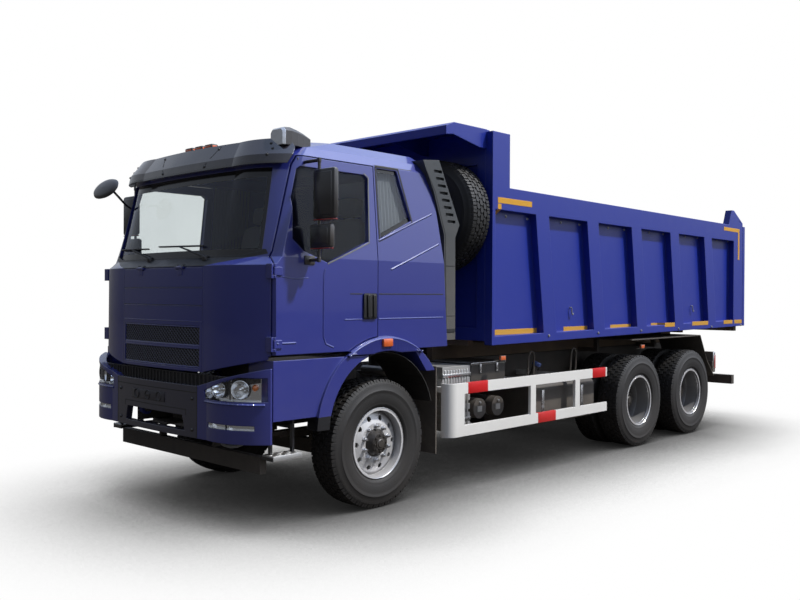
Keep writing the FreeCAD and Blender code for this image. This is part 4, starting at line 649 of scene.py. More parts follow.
# Load body. Welded steel box in cobalt gloss paint: sides with a deep top rail, raked ribs and a
# sill, a canopy over the cab, and a ribbed tailgate; scuffed inside by its loads.
body_blue = finish("body_blue", (0.003, 0.020, 0.285, 1), 0.42, 0.05, 1.0, 2.2, coat=0.15, radius=0.010,
                   grain=5.0, relief=0.09)
dress(body_blue, "bed_side_left", "bed_side_right", "headboard", "tailgate")
floor_steel = finish("worn_floor", (0.10, 0.085, 0.075, 1), 0.55, 0.9, 0.2, 2.4, (0.26, 0.20, 0.15, 1),
                     metallic=0.4, grain=30.0, relief=0.5)
dress(floor_steel, "bed_floor")

# Parts that keep their own form. Moulded snorkel, mudguards and smoked visor, the silencer's
# aluminium shield, white-painted guard rails, and the hoist's chromed tubes in their steel cover.
grey_moulding = finish("grey_moulding", (0.038, 0.045, 0.052, 1), 0.48, 0.25, 1.2, 2.6, grain=300.0,
                       relief=0.3)
dress(grey_moulding, "snorkel")
dress(black_trim, "mudguards", "mirror_left", "mirror_right", "front_mirror", "cab_interior", "lamps")
smoke = finish("smoke_visor", (0.075, 0.062, 0.055, 1), 0.12, 0.12, 2.0, 3.4, coat=0.6, relief=0.03)
dress(smoke, "visor")
alloy = finish("alloy_shield", (0.50, 0.50, 0.49, 1), 0.42, 0.35, 0.4, 1.2, metallic=0.8, relief=0.25)
dress(alloy, "silencer")
guard_white = finish("guard_white", (0.88, 0.88, 0.87, 1), 0.32, 0.10, 0.45, 0.95, coat=0.5, radius=0.006)
dress(guard_white, "side_guards")
tube_chrome = finish("tube_chrome", (0.62, 0.62, 0.64, 1), 0.14, 0.12, 0.6, 2.0, metallic=1.0, relief=0.02)
dress(tube_chrome, "hoist_rod", "hoist_stage_1", "hoist_stage_2")
dress(frame_black, "hoist_cover")

# Bumper and lamps. Moulded bumper in cab colour with a middle panel darkened by painted shade,
# bolted on, and sealed headlamps and fog lamps: bright reflectors behind clear lenses, with an amber
# bulb at the corner.
seam_black = finish("seam_black", (0.004, 0.004, 0.005, 1), 0.6, 0.1, relief=0.1)
mirror_chrome = finish("reflector_chrome", (0.86, 0.87, 0.88, 1), 0.12, 0.05, metallic=1.0, radius=0.002,
                       relief=0.02)
amber_bulb = finish("amber_plastic", (0.85, 0.20, 0.015, 1), 0.25, 0.05, coat=0.6, relief=0.05)
bumper_navy = finish("bumper_navy", (0.012, 0.013, 0.030, 1), 0.38, 0.15, 0.6, 1.2, coat=0.5, radius=0.006,
                     relief=0.05)
lamp_clear = glass_look("lamp_clear", (0.94, 0.95, 0.96, 1))


def surface_of(*nodes):
    """Search tree over the surfaces of CAD nodes, with X measured from the front axle."""
    corners = []
    faces = []
    for name in nodes:
        mesh = parts[name].data
        start = len(corners)
        corners += [vertex.co - Vector((front_axle_x, 0, 0)) for vertex in mesh.vertices]
        faces += [[start + corner for corner in polygon.vertices] for polygon in mesh.polygons]
    return BVHTree.FromPolygons(corners, faces)


def land(tree, point, way):
    """Place and outward direction where a ray from a point first meets a surface, or None."""
    spot, normal, _, _ = tree.ray_cast(Vector(point), Vector(way).normalized())
    if spot is None:
        return None
    if normal.dot(Vector(way)) > 0:
        normal = -normal
    return spot, normal


def add_strip(bm, tree, points, way, width, lift, index=0, ridge=False):
    """Flat or ridged strip laid on a surface along points that are cast onto it."""
    samples = []
    for start, end in zip(points, points[1:]):
        count = max(1, int((Vector(end) - Vector(start)).length / 0.05))
        samples += [Vector(start).lerp(Vector(end), step / count) for step in range(count)]
    samples.append(Vector(points[-1]))
    landed = [hit for hit in (land(tree, sample, way) for sample in samples) if hit]
    rings = []
    for place, (spot, normal) in enumerate(landed):
        run = landed[min(place + 1, len(landed) - 1)][0] - landed[max(place - 1, 0)][0]
        side = normal.cross(run).normalized() * width / 2
        if ridge:
            ring = [spot - side - normal * 0.001, spot + normal * lift, spot + side - normal * 0.001]
        else:
            ring = [spot - side - normal * 0.002, spot - side + normal * lift, spot + side + normal * lift,
                    spot + side - normal * 0.002]
        rings.append([bm.verts.new(corner) for corner in ring])
    if len(rings) < 2:
        return
    count = len(rings[0])
    for first, second in zip(rings, rings[1:]):
        for corner in range(count):
            after = (corner + 1) % count
            bm.faces.new((first[corner], first[after], second[after], second[corner])).material_index = index
    for ring in (rings[0], rings[-1]):
        bm.faces.new(ring).material_index = index


def add_turned(bm, profile, turns, centre, way, index=0):
    """Turned form about any axis, from (radius, along) corners."""
    spin = Vector(way).to_track_quat("Z", "Y").to_matrix()
    rings = []
    for step in range(turns):
        angle = 2 * math.pi * step / turns
        rings.append([bm.verts.new(Vector(centre) + spin @ Vector((radius * math.cos(angle),
                                                                   radius * math.sin(angle), along)))
                      for radius, along in profile])
    for step in range(turns):
        this = rings[step]
        other = rings[(step + 1) % turns]
        for corner in range(len(profile) - 1):
            face = bm.faces.new((this[corner], this[corner + 1], other[corner + 1], other[corner]))
            face.material_index = index


def add_box(bm, low, high, bevel=0.0, index=0):
    """Block between two opposite corners, with rounded edges where asked."""
    x0, y0, z0 = low
    x1, y1, z1 = high
    faces = add_shell(bm, [(x0, y0, z0), (x1, y0, z0), (x1, y1, z0), (x0, y1, z0)],
                      [(x0, y0, z1), (x1, y0, z1), (x1, y1, z1), (x0, y1, z1)], index)
    if bevel:
        edges = list({edge for face in faces for edge in face.edges})
        bmesh.ops.bevel(bm, geom=edges, offset=bevel, segments=2, profile=0.5, affect="EDGES")


def add_bolt(bm, spot, way, radius, index=0):
    """Domed bolt head on a washer."""
    add_turned(bm, [(0.0, radius * 0.75), (radius * 0.55, radius * 0.62), (radius * 0.72, radius * 0.15),
                    (radius, radius * 0.12), (radius, -0.002)], 12, spot, way, index)


bumper_skin = surface_of("front_bumper", "lamps")
lamp_centre_x = 0.95
lamp_centre_y = 0.70


def bumper_spot(side, turn, z):
    """Place on the bumper's outside at an angle about a centre behind its corner."""
    way = Vector((math.cos(turn), side * math.sin(turn), 0))
    start = Vector((lamp_centre_x, side * lamp_centre_y, z)) + way
    hit = land(bumper_skin, start, -way)
    return (hit[0], way) if hit else None


def turn_where(side, z, wanted):
    """Angle at which a test on the bumper's outside first holds."""
    turn = math.radians(-28)
    while turn < math.radians(80):
        hit = bumper_spot(side, turn, z)
        if hit and wanted(hit[0]):
            return turn
        turn += math.radians(0.4)
    return turn


def headlamp_start(z):
    """Inner edge of the headlamp at a height."""
    if z <= 1.060:
        return 0.700
    if z <= 1.142:
        return 0.700 + (z - 1.060) / 0.082 * 0.230
    return 0.930 + (z - 1.142) / 0.035 * 0.124


def add_lamp(glass, shell, side, heights, inner_edge, outer_test, depth, columns):
    """Clear lens flush with the bumper, and the bright box behind it."""
    lens = []
    wall = []
    for z in heights:
        first = turn_where(side, z, lambda spot: side * spot.y >= inner_edge(z))
        last = turn_where(side, z, outer_test)
        row = [bumper_spot(side, first + (last - first) * step / columns, z) for step in range(columns + 1)]
        lens.append([glass.verts.new(spot + way * 0.0005) for spot, way in row])
        wall.append([[shell.verts.new(spot - way * 0.001) for spot, way in row],
                     [shell.verts.new(spot - way * depth) for spot, way in row]])
    for row in range(len(heights) - 1):
        front_low, back_low = wall[row]
        front_high, back_high = wall[row + 1]
        for step in range(columns):
            glass.faces.new((lens[row][step], lens[row][step + 1], lens[row + 1][step + 1],
                             lens[row + 1][step]))
            shell.faces.new((back_low[step], back_low[step + 1], back_high[step + 1], back_high[step]))
        for end in (0, columns):
            shell.faces.new((front_low[end], back_low[end], back_high[end], front_high[end]))
    for row in (0, len(heights) - 1):
        for step in range(columns):
            front, rear = wall[row]
            shell.faces.new((front[step], front[step + 1], rear[step + 1], rear[step]))


lens_bm = bmesh.new()
lamp_bm = bmesh.new()
rear_lamp_y = 1.0375
for side in (-1, 1):
    add_lamp(lens_bm, lamp_bm, side, (0.9985, 1.03, 1.06, 1.09, 1.12, 1.142, 1.160, 1.1705), headlamp_start,
             lambda spot: spot.x <= 1.2335, 0.055, 16)
    for low, high in ((0.746, 0.944), (0.958, 1.155)):
        add_lamp(lens_bm, lamp_bm, side, (0.7875, 0.805, 0.8215), lambda z: low,
                 lambda spot: side * spot.y >= high, 0.04, 6)
    for turn, z, radius in ((0.10, 1.045, 0.040), (0.34, 1.075, 0.058), (0.72, 1.085, 0.066)):
        spot, way = bumper_spot(side, turn, z)
        bowl = [(0.0, -0.052), (radius * 0.5, -0.048), (radius * 0.85, -0.030), (radius, -0.012),
                (radius * 1.05, -0.013)]
        add_turned(lamp_bm, bowl, 28, spot, way)
        add_turned(lamp_bm, [(0.0, -0.018), (0.010, -0.022), (0.012, -0.048)], 14, spot, way)
        rim = [(radius * 1.05, -0.013), (radius * 1.10, -0.020), (radius * 1.10, -0.05)]
        add_turned(lamp_bm, rim, 28, spot, way, 2)
    spot, way = bumper_spot(side, 0.93, 1.10)
    add_turned(lamp_bm, [(0.0, -0.008), (0.018, -0.014), (0.024, -0.028), (0.024, -0.052)], 18, spot, way, 1)
    for turn in (0.21, 0.55):
        spot, way = bumper_spot(side, turn, 1.08)
        post = spot - way * 0.03
        add_rod(lamp_bm, post + Vector((0, 0, -0.075)), post + Vector((0, 0, 0.07)), 0.005, 8, 2)
    middle = side * rear_lamp_y
    add_box(lamp_bm, (-6.4395, middle - 0.166, 0.747), (-6.3815, middle + 0.166, 1.026), 0.012, 3)
    add_box(lamp_bm, (-6.444, middle - 0.158, 0.82), (-6.438, middle + 0.02, 1.015), 0.004, 4)
    add_box(lamp_bm, (-6.444, middle + 0.03, 0.82), (-6.438, middle + 0.158, 1.015), 0.004, 1)
    add_box(lamp_bm, (-6.444, middle - 0.158, 0.755), (-6.438, middle + 0.158, 0.812), 0.004, 5)
    add_box(lamp_bm, (-6.432, side * 1.205 - 0.002, 0.80), (-6.392, side * 1.205 + 0.004, 0.98), 0.002, 4)
lens_red = finish("lens_red", (0.50, 0.006, 0.008, 1), 0.2, 0.3, coat=0.8, relief=0.04, grain=220.0)
lens_white = finish("lens_white", (0.62, 0.62, 0.60, 1), 0.2, 0.3, coat=0.8, relief=0.04, grain=220.0)
lamp_cases = piece("lamp_units", lamp_bm, "chassis",
                   [mirror_chrome, amber_bulb, seam_black, black_trim, lens_red, lens_white], 30)
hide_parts("lamps")
piece("lamp_covers", lens_bm, "chassis", [lamp_clear], 60)

# Bumper trim. Seams round the middle panel, which is darkened by painted shade, its bolts and
# triple plug, and the moulded ledge under the headlamps, all part of the bumper's skin or clipped to it.
bm = bmesh.new()
front = (-1, 0, 0)
afar = 2
panel_half = 0.605
slot_half = 0.47
for y in (-panel_half, panel_half):
    add_strip(bm, bumper_skin, [(afar, y, 0.690), (afar, y, 1.083)], front, 0.008, 0.0008, 0)
add_strip(bm, bumper_skin, [(afar, -0.60, 1.035), (afar, 0.60, 1.035)], front, 0.007, 0.0008, 0)
for y in (-slot_half * 0.985, slot_half * 0.985):
    add_strip(bm, bumper_skin, [(afar, y, 0.850), (afar, y, 0.895)], front, 0.007, 0.0008, 0)
add_strip(bm, bumper_skin, [(afar, -slot_half, 0.895), (afar, slot_half, 0.895)], front, 0.007, 0.0008, 0)


def ledge_section(spot, way):
    """Three corners of the ledge where it leaves the bumper's skin."""
    root = spot - way * 0.001
    return [root + Vector((0, 0, 0.014)), spot + way * 0.010, root - Vector((0, 0, 0.010))]


for side in (-1, 1):
    for z in (0.745, 0.985):
        spot, normal = land(bumper_skin, (afar, side * 0.545, z), front)
        add_bolt(bm, spot, normal, 0.016, 2)
    edge = [bumper_spot(side, math.radians(step), 0.975) for step in range(0, 62, 4)]
    for first, second in zip(edge, edge[1:]):
        add_shell(bm, ledge_section(*first), ledge_section(*second), 1)
plug_z = 0.965
plug_x = land(bumper_skin, (afar, -0.07, plug_z), front)[0].x
add_box(bm, (plug_x - 0.004, -0.325, plug_z - 0.040), (plug_x + 0.004, 0.180, plug_z + 0.040), 0.003, 3)
for y in (-0.245, -0.075, 0.095):
    add_turned(bm, [(0.0, -0.004), (0.030, -0.004), (0.032, 0.004), (0.038, 0.005), (0.039, 0.0)], 20,
               (plug_x + 0.004, y, plug_z), (1, 0, 0), 0)
add_box(bm, (plug_x + 0.003, -0.105, plug_z - 0.008), (plug_x + 0.007, -0.045, plug_z + 0.008), 0.001, 2)
piece("bumper_trim", bm, "chassis", [seam_black, cab_blue, hub_black, bumper_navy], 30)
# The bumper's middle is painted a darker navy as painted shade on its front face.
bumper_blue_with_painted_shade = cab_blue.copy()
bumper_blue_with_painted_shade.name = "bumper_blue_with_painted_shade"
tree = bumper_blue_with_painted_shade.node_tree
split = tree.nodes.new("ShaderNodeSeparateXYZ")
tree.links.new(tree.nodes.new("ShaderNodeTexCoord").outputs["Object"], split.inputs[0])
middle = combine(tree, "LESS_THAN", combine(tree, "ABSOLUTE", split.outputs["Y"], 0.0), panel_half)
mix = tree.nodes.new("ShaderNodeMix")
mix.data_type = "RGBA"
tree.links.new(middle, mix.inputs["Factor"])
mix.inputs[6].default_value = (0.021, 0.030, 0.230, 1)
mix.inputs[7].default_value = (0.012, 0.014, 0.045, 1)
tree.links.new(mix.outputs[2], tree.nodes["dust"].inputs["Colour"])
dress(bumper_blue_with_painted_shade, "front_bumper")
dress(frame_black, "tow_jaw")

# Painted shade behind the bumper. Black band with upright ribs that follows the V between the
# bumper and the front panel, standing in for the shade in that gap, fixed to the bumper's frame.
bm = bmesh.new()
shade_band_top = 1.172
shade_band_foot = 1.045
shade_band_rows = []
for step in range(-46, 47):
    y = step * 0.025
    hit = land(bumper_skin, (afar, y, 1.075 if abs(y) < 0.66 else 0.99), front)
    low = shade_band_foot if abs(y) < 0.7 else shade_band_foot + (abs(y) - 0.7) * 0.20
    shade_band_rows.append((hit[0].x - 0.060, y, low))
for first, second in zip(shade_band_rows, shade_band_rows[1:]):
    ends = [[(x, y, low), (x, y, shade_band_top), (x - 0.012, y, shade_band_top), (x - 0.012, y, low)]
            for x, y, low in (first, second)]
    add_shell(bm, ends[0], ends[1], 0)
for x, y, low in shade_band_rows[1:-1:2]:
    add_box(bm, (x - 0.001, y - 0.004, low + 0.006), (x + 0.012, y + 0.004, shade_band_top - 0.006), 0.0, 0)
# The band's black is painted shade in the gap between the bumper and the front panel.
gap_shade_black = finish("gap_shade_black", (0.006, 0.006, 0.007, 1), 0.45, 0.15, 0.6, 1.3, relief=0.2)
piece("gap_shade_band", bm, "chassis", [gap_shade_black], 25)

# Front panel trim. Two bands of fine diamond mesh pressed from sheet in a frame, over a black
# backing, and the pressed seams that run right across the panel.
panel_skin = surface_of("front_panel")


def panel_x(y, z):
    """Outside of the front panel at a place inside the grille's opening."""
    low = land(panel_skin, (afar, y, 1.200), front)[0].x
    high = land(panel_skin, (afar, y, 1.560), front)[0].x
    return low + (high - low) * (z - 1.200) / 0.360


bm = bmesh.new()
grille_half = 0.5645
grille_low = 1.2165
grille_high = 1.5395
rows = [(step * grille_half / 12) for step in range(-12, 13)]
for first, second in zip(rows, rows[1:]):
    ends = [[(panel_x(y, z) - behind, y, z) for z, behind in ((grille_low, 0.0115), (grille_high, 0.0115),
                                                              (grille_high, 0.0130), (grille_low, 0.0130))]
            for y in (first, second)]
    add_shell(bm, ends[0], ends[1], 0)
mesh_pitch = 0.040
for low, high in ((1.222, 1.366), (1.390, 1.534)):
    reach = (high - low) * 1.25
    for lean in (-1, 1):
        start = -grille_half - reach
        while start < grille_half + reach:
            ends = [(start, low), (start + lean * reach, high)]
            spots = []
            for (y, z), (other_y, other_z) in (ends, ends[::-1]):
                limit = max(-grille_half, min(grille_half, y))
                spots.append((limit, z + (other_z - z) * (limit - y) / (other_y - y)))
            (ya, za), (yb, zb) = spots
            if low - 0.001 <= min(za, zb) and max(za, zb) <= high + 0.001 and abs(za - zb) > 0.01:
                add_rod(bm, (panel_x(ya, za) - 0.0085, ya, za), (panel_x(yb, zb) - 0.0085, yb, zb),
                        0.0036, 5, 1)
            start += mesh_pitch
    for z in (low, high):
        for first, second in zip(rows, rows[1:]):
            add_rod(bm, (panel_x(first, z) - 0.006, first, z), (panel_x(second, z) - 0.006, second, z),
                    0.006, 6, 2)
bar_z = (grille_low + grille_high) / 2
for first, second in zip(rows, rows[1:]):
    ends = [[(panel_x(y, bar_z) - 0.010, y, bar_z - 0.011), (panel_x(y, bar_z) - 0.001, y, bar_z - 0.008),
             (panel_x(y, bar_z) - 0.001, y, bar_z + 0.008), (panel_x(y, bar_z) - 0.010, y, bar_z + 0.011)]
            for y in (first, second)]
    add_shell(bm, ends[0], ends[1], 2)
for z in (1.835, 1.695, 1.575):
    add_strip(bm, panel_skin, [(afar, -0.595, z), (afar, 0.595, z)], front, 0.009, 0.003, 2, True)
for z in (1.702, 1.842):
    add_strip(bm, panel_skin, [(afar, -0.595, z), (afar, 0.595, z)], front, 0.004, 0.0005, 0)
mesh_paint = finish("mesh_paint", (0.016, 0.017, 0.045, 1), 0.35, 0.15, coat=0.6, radius=0.001)
piece("grille_mesh", bm, "panel", [seam_black, mesh_paint, cab_blue], 30)

# Visor, markers and roof lamp. Smoked plastic visor on brackets over the windscreen, painted black
# underneath as painted shade, with three orange markers on the roof behind it and a clear work lamp
# in a grey shell at its end.


def tint_and_shade_visor():
    """Smoked plastic, brown at one end and near navy at the other, with streaks, and painted shade in black
    below.
    """
    tree = smoke.node_tree
    split = tree.nodes.new("ShaderNodeSeparateXYZ")
    place = tree.nodes.new("ShaderNodeTexCoord").outputs["Object"]
    tree.links.new(place, split.inputs[0])
    streaks = add_node(tree, "ShaderNodeTexNoise", Scale=2.6, Detail=2.0)
    tree.links.new(place, streaks.inputs["Vector"])
    shift = combine(tree, "MULTIPLY", combine(tree, "SUBTRACT", streaks.outputs[0], 0.5), 1.5)
    along = combine(tree, "ADD", split.outputs["Y"], shift)
    ramp = tree.nodes.new("ShaderNodeValToRGB")
    marks = ramp.color_ramp.elements
    tones = ((0.10, (0.20, 0.185, 0.17, 1)), (0.95, (0.010, 0.010, 0.022, 1)), (0.42, (0.14, 0.13, 0.12, 1)),
             (0.62, (0.035, 0.034, 0.042, 1)))
    for index, (position, colour) in enumerate(tones):
        mark = marks[index] if index < 2 else marks.new(position)
        mark.position = position
        mark.color = colour
    tree.links.new(combine(tree, "MULTIPLY", combine(tree, "ADD", along, 1.2), 0.42), ramp.inputs[0])
    mix = tree.nodes.new("ShaderNodeMix")
    mix.data_type = "RGBA"
    # Below this height the visor's underside is black as painted shade.
    tree.links.new(combine(tree, "LESS_THAN", split.outputs["Z"], 2.800), mix.inputs["Factor"])
    tree.links.new(ramp.outputs[0], mix.inputs[6])
    mix.inputs[7].default_value = (0.004, 0.004, 0.004, 1)
    tree.links.new(mix.outputs[2], tree.nodes["dust"].inputs["Colour"])


tint_and_shade_visor()
visor_skin = surface_of("visor")
roof_skin = surface_of("cab_shell", "visor")
down = (0, 0, -1)
bm = bmesh.new()
for side in (-1, 1):
    split_line = [(afar, side * 0.30, 2.800), (afar, side * 0.42, 2.975)]
    add_strip(bm, visor_skin, split_line, front, 0.010, 0.001, 0)
    for y, z in ((0.315, 2.815), (0.405, 2.955), (1.02, 2.85), (1.03, 2.90), (0.99, 2.945)):
        hit = land(visor_skin, (afar, side * y, z), front)
        if hit:
            add_bolt(bm, hit[0], hit[1], 0.013, 0)
overhead = 4
for y in (-0.145, 0.0, 0.145):
    z = land(roof_skin, (1.005, y, overhead), down)[0].z
    add_box(bm, (0.955, y - 0.071, z - 0.012), (1.035, y + 0.071, z + 0.008), 0.004, 0)
    add_box(bm, (0.962, y - 0.056, z + 0.004), (1.032, y + 0.056, z + 0.046), 0.012, 1)
for side in (-1, 1):
    z = land(roof_skin, (0.86, side * 1.005, overhead), down)[0].z
    add_turned(bm, [(0.0, 0.012), (0.020, 0.012), (0.022, 0.0), (0.022, -0.02)], 14,
               (0.86, side * 1.005, z + 0.004), (0, 0, 1), 0)
lamp_y = 1.030
lamp_z = land(roof_skin, (0.93, lamp_y, overhead), down)[0].z
shell_rows = []
for x, half_y, z in ((1.005, 0.072, 0.060), (0.985, 0.088, 0.074), (0.93, 0.092, 0.078), (0.86, 0.085, 0.066),
                     (0.78, 0.066, 0.048), (0.70, 0.040, 0.024)):
    shell_rows.append([(x, lamp_y - half_y, lamp_z - 0.06), (x, lamp_y - half_y, lamp_z + z * 0.62),
                       (x, lamp_y - half_y * 0.72, lamp_z + z), (x, lamp_y + half_y * 0.72, lamp_z + z),
                       (x, lamp_y + half_y, lamp_z + z * 0.62), (x, lamp_y + half_y, lamp_z - 0.06)])
for first, second in zip(shell_rows, shell_rows[1:]):
    add_shell(bm, first, second, 2 if first is not shell_rows[0] else 3)
marker_orange = finish("marker_orange", (0.80, 0.13, 0.012, 1), 0.22, 0.1, 1.0, 2.0, coat=0.9, relief=0.05,
                       grain=260.0)
lamp_grey = finish("lamp_shell_grey", (0.045, 0.046, 0.05, 1), 0.4, 0.2, relief=0.2)
lamp_lens = finish("work_lamp_lens", (0.55, 0.57, 0.60, 1), 0.08, 0.1, metallic=0.5, coat=1.0, relief=0.5,
                   grain=40.0)
piece("roof_lamps", bm, "cab", [black_trim, marker_orange, lamp_grey, lamp_lens], 40)

# Door and cab side trim. Seams, a pressed groove drawn as a black line of painted shade, pressed
# swages and creases in the sheet, a black handle in its recess and the window's rubber seal, and
# behind the door the quarter window's black seal.
shell_skin = surface_of("cab_shell", "front_panel")
handle_black = finish("handle_black", (0.008, 0.008, 0.009, 1), 0.3, 0.1, coat=0.3, relief=0.1)
seal_grey = finish("seal_grey", (0.16, 0.165, 0.17, 1), 0.5, 0.2, relief=0.1)
groove_shade_z = 1.795
swage_z = 1.590
door_gap = (0.118, 0.103)
for side, door in ((1, "left"), (-1, "right")):
    door_skin = surface_of("door_" + door)
    inward = (0, -side, 0)
    far = side * afar
    bm = bmesh.new()
    # Black line along the pressed groove on the door: painted shade in the crease.
    for first, last in ((0.427, 0.285), (0.140, door_gap[0])):
        add_strip(bm, door_skin, [(first, far, groove_shade_z), (last, far, groove_shade_z)], inward, 0.009, 0.0008, 0)
    for first, last in ((0.483, 0.285), (0.135, door_gap[0])):
        add_strip(bm, door_skin, [(first, far, swage_z), (last, far, swage_z)], inward, 0.017, 0.004, 1, True)
    upper_crease = [(1.155, far, 1.925), (0.98, far, 1.905), (0.86, far, 1.915)]
    add_strip(bm, door_skin, upper_crease, inward, 0.010, 0.003, 1, True)
    add_strip(bm, door_skin, [(1.165, far, 1.425), (0.98, far, 1.425)], inward, 0.022, 0.005, 1, True)
    panel_edge = [(0.690, far, 1.985), (0.705, far, 1.93), (0.705, far, 1.46), (0.68, far, 1.405),
                  (0.60, far, 1.375)]
    add_strip(bm, door_skin, panel_edge, inward, 0.022, 0.004, 1, True)
    window = [(0.235, 2.768), (0.187, 2.738), (0.215, 2.224), (0.658, 2.039)]
    add_strip(bm, door_skin, [(x + (0.008 if x > 0.65 else -0.010), far, z + (0.010 if z > 2.5 else -0.012))
                              for x, z in window], inward, 0.012, 0.002, 2)
    face = land(door_skin, (0.21, far, 1.70), inward)[0].y
    low, high = sorted((face - side * 0.010, face + side * 0.002))
    add_box(bm, (0.138, low, 1.592), (0.284, high, 1.800), 0.010, 3)
    low, high = sorted((face + side * 0.001, face + side * 0.014))
    for x in (0.172, 0.235):
        add_box(bm, (x - 0.016, low, 1.604), (x + 0.016, high, 1.788), 0.006, 3)
    low, high = sorted((face + side * 0.0015, face + side * 0.003))
    add_box(bm, (0.192, low, 1.612), (0.213, high, 1.780), 0.001, 0)
    looks = [seam_black, cab_blue, seal_grey, handle_black]
    piece(door + "_door_trim", bm, door + "_door", looks, 20)
    bm = bmesh.new()
    # Black line along the pressed groove on the cab side: painted shade in the crease.
    seam = [(door_gap[1], far, groove_shade_z), (-0.70, far, groove_shade_z)]
    add_strip(bm, shell_skin, seam, inward, 0.009, 0.0008, 0)
    swage = [(door_gap[1], far, swage_z), (-0.70, far, swage_z)]
    add_strip(bm, shell_skin, swage, inward, 0.017, 0.004, 1, True)
    for first, last in (((0.095, 2.235), (-0.58, 2.500)), ((-0.04, 2.000), (-0.70, 2.257))):
        crease = [(x, far, z) for x, z in (first, last)]
        add_strip(bm, shell_skin, crease, inward, 0.022, 0.006, 1, True)
    add_strip(bm, shell_skin, [(0.10, far, 2.862), (-0.36, far, 2.862)], inward, 0.007, 0.0008, 0)
    quarter = [(0.076, 2.838), (-0.165, 2.838), (-0.308, 2.422), (0.072, 2.250), (0.076, 2.838)]
    add_strip(bm, shell_skin, [(x + (0.012 if x > 0 else -0.016), far, z + (0.014 if z > 2.5 else -0.018))
                               for x, z in quarter], inward, 0.016, 0.002, 0)
    piece(door + "_cab_side_trim", bm, "cab", [seam_black, cab_blue], 20)

# Front wheel arch. Black plastic liner bolted to the frame over the tyre, and above it the crown of
# the moulded flare in cab paint, with rolled edges, which tilts with the cab and holds a marker.
arch_x = 0.040
arch_z = 0.700


def arch_row(turn, side_y, section):
    """Section of the arch at an angle about the flare's centre, from (radius, y past the side) corners."""
    return [(arch_x + radius * math.cos(turn), side_y + along, arch_z + radius * math.sin(turn))
            for radius, along in section]


for side, door in ((1, "left"), (-1, "right")):
    bm = bmesh.new()
    liner = [(0.609, side * 0.78), (0.609, side * 1.238), (0.615, side * 1.238), (0.615, side * 0.78)]
    liner_rows = [arch_row(math.radians(14 + step * 8.4), 0, liner) for step in range(19)]
    for first, second in zip(liner_rows, liner_rows[1:]):
        add_shell(bm, first, second, 0)
    low, high = sorted((side * 0.55, side * 0.93))
    add_box(bm, (0.66, low, 0.90), (1.17, high, 1.27), 0.01, 0)
    piece(door + "_arch_liner", bm, "chassis", [seam_black], 30)
    marker = land(surface_of("cab_shell", "door_" + door), (0.05, side * afar, 1.395), (0, -side, 0))[0]
    crown_rows = []
    for step in range(25):
        turn = math.radians(54.5 + step * 71 / 24)
        inner = max(0.624, 0.604 / math.sin(turn))
        crown = ((0.743, 0.0), (0.741, 0.014), (0.731, 0.022), (0.722, 0.018), (inner + 0.016, 0.022),
                 (inner + 0.004, 0.018), (inner, 0.006), (inner, -0.030))
        crown_rows.append(arch_row(turn, marker.y, [(radius, side * proud) for radius, proud in crown]))
    bm = bmesh.new()
    for first, second in zip(crown_rows, crown_rows[1:]):
        add_shell(bm, first, second, 0)
    piece(door + "_arch_crown", bm, "cab", [cab_blue], 50)
    bm = bmesh.new()
    low, high = sorted((marker.y + side * 0.014, marker.y + side * 0.040))
    add_box(bm, (-0.005, low, 1.362), (0.105, high, 1.428), 0.008, 0)
    piece(door + "_arch_marker", bm, "cab", [marker_orange], 40)

# Quarter window blinds. Stiff grey plastic film folded in pleats, clipped to the cab's inner wall
# behind each quarter window and drawn down to shade the bunk.
blind_grey = finish("blind_grey", (0.16, 0.17, 0.19, 1), 0.75, 0.1, 1.0, 2.0, relief=0.1, grain=300.0)
glass_skin = surface_of("cab_glass")
blind_probes = (2.45, 2.75)
blind_ends = (2.24, 2.86)
for side, door in ((1, "left"), (-1, "right")):
    low_y, high_y = (land(glass_skin, (-0.02, 0, z), (0, side, 0))[0].y for z in blind_probes)
    lean = (high_y - low_y) / (blind_probes[1] - blind_probes[0])
    blind_rows = []
    for step in range(23):
        x = -0.33 + step * 0.02
        pleat = 0.030 + 0.008 * (step % 2)
        outer, inner = ([(x, low_y + lean * (z - blind_probes[0]) - side * depth, z) for z in blind_ends]
                        for depth in (pleat, pleat + 0.003))
        blind_rows.append(outer + inner[::-1])
    bm = bmesh.new()
    for first, second in zip(blind_rows, blind_rows[1:]):
        add_shell(bm, first, second, 0)
    piece(door + "_quarter_blind", bm, "cab", [blind_grey], 20)

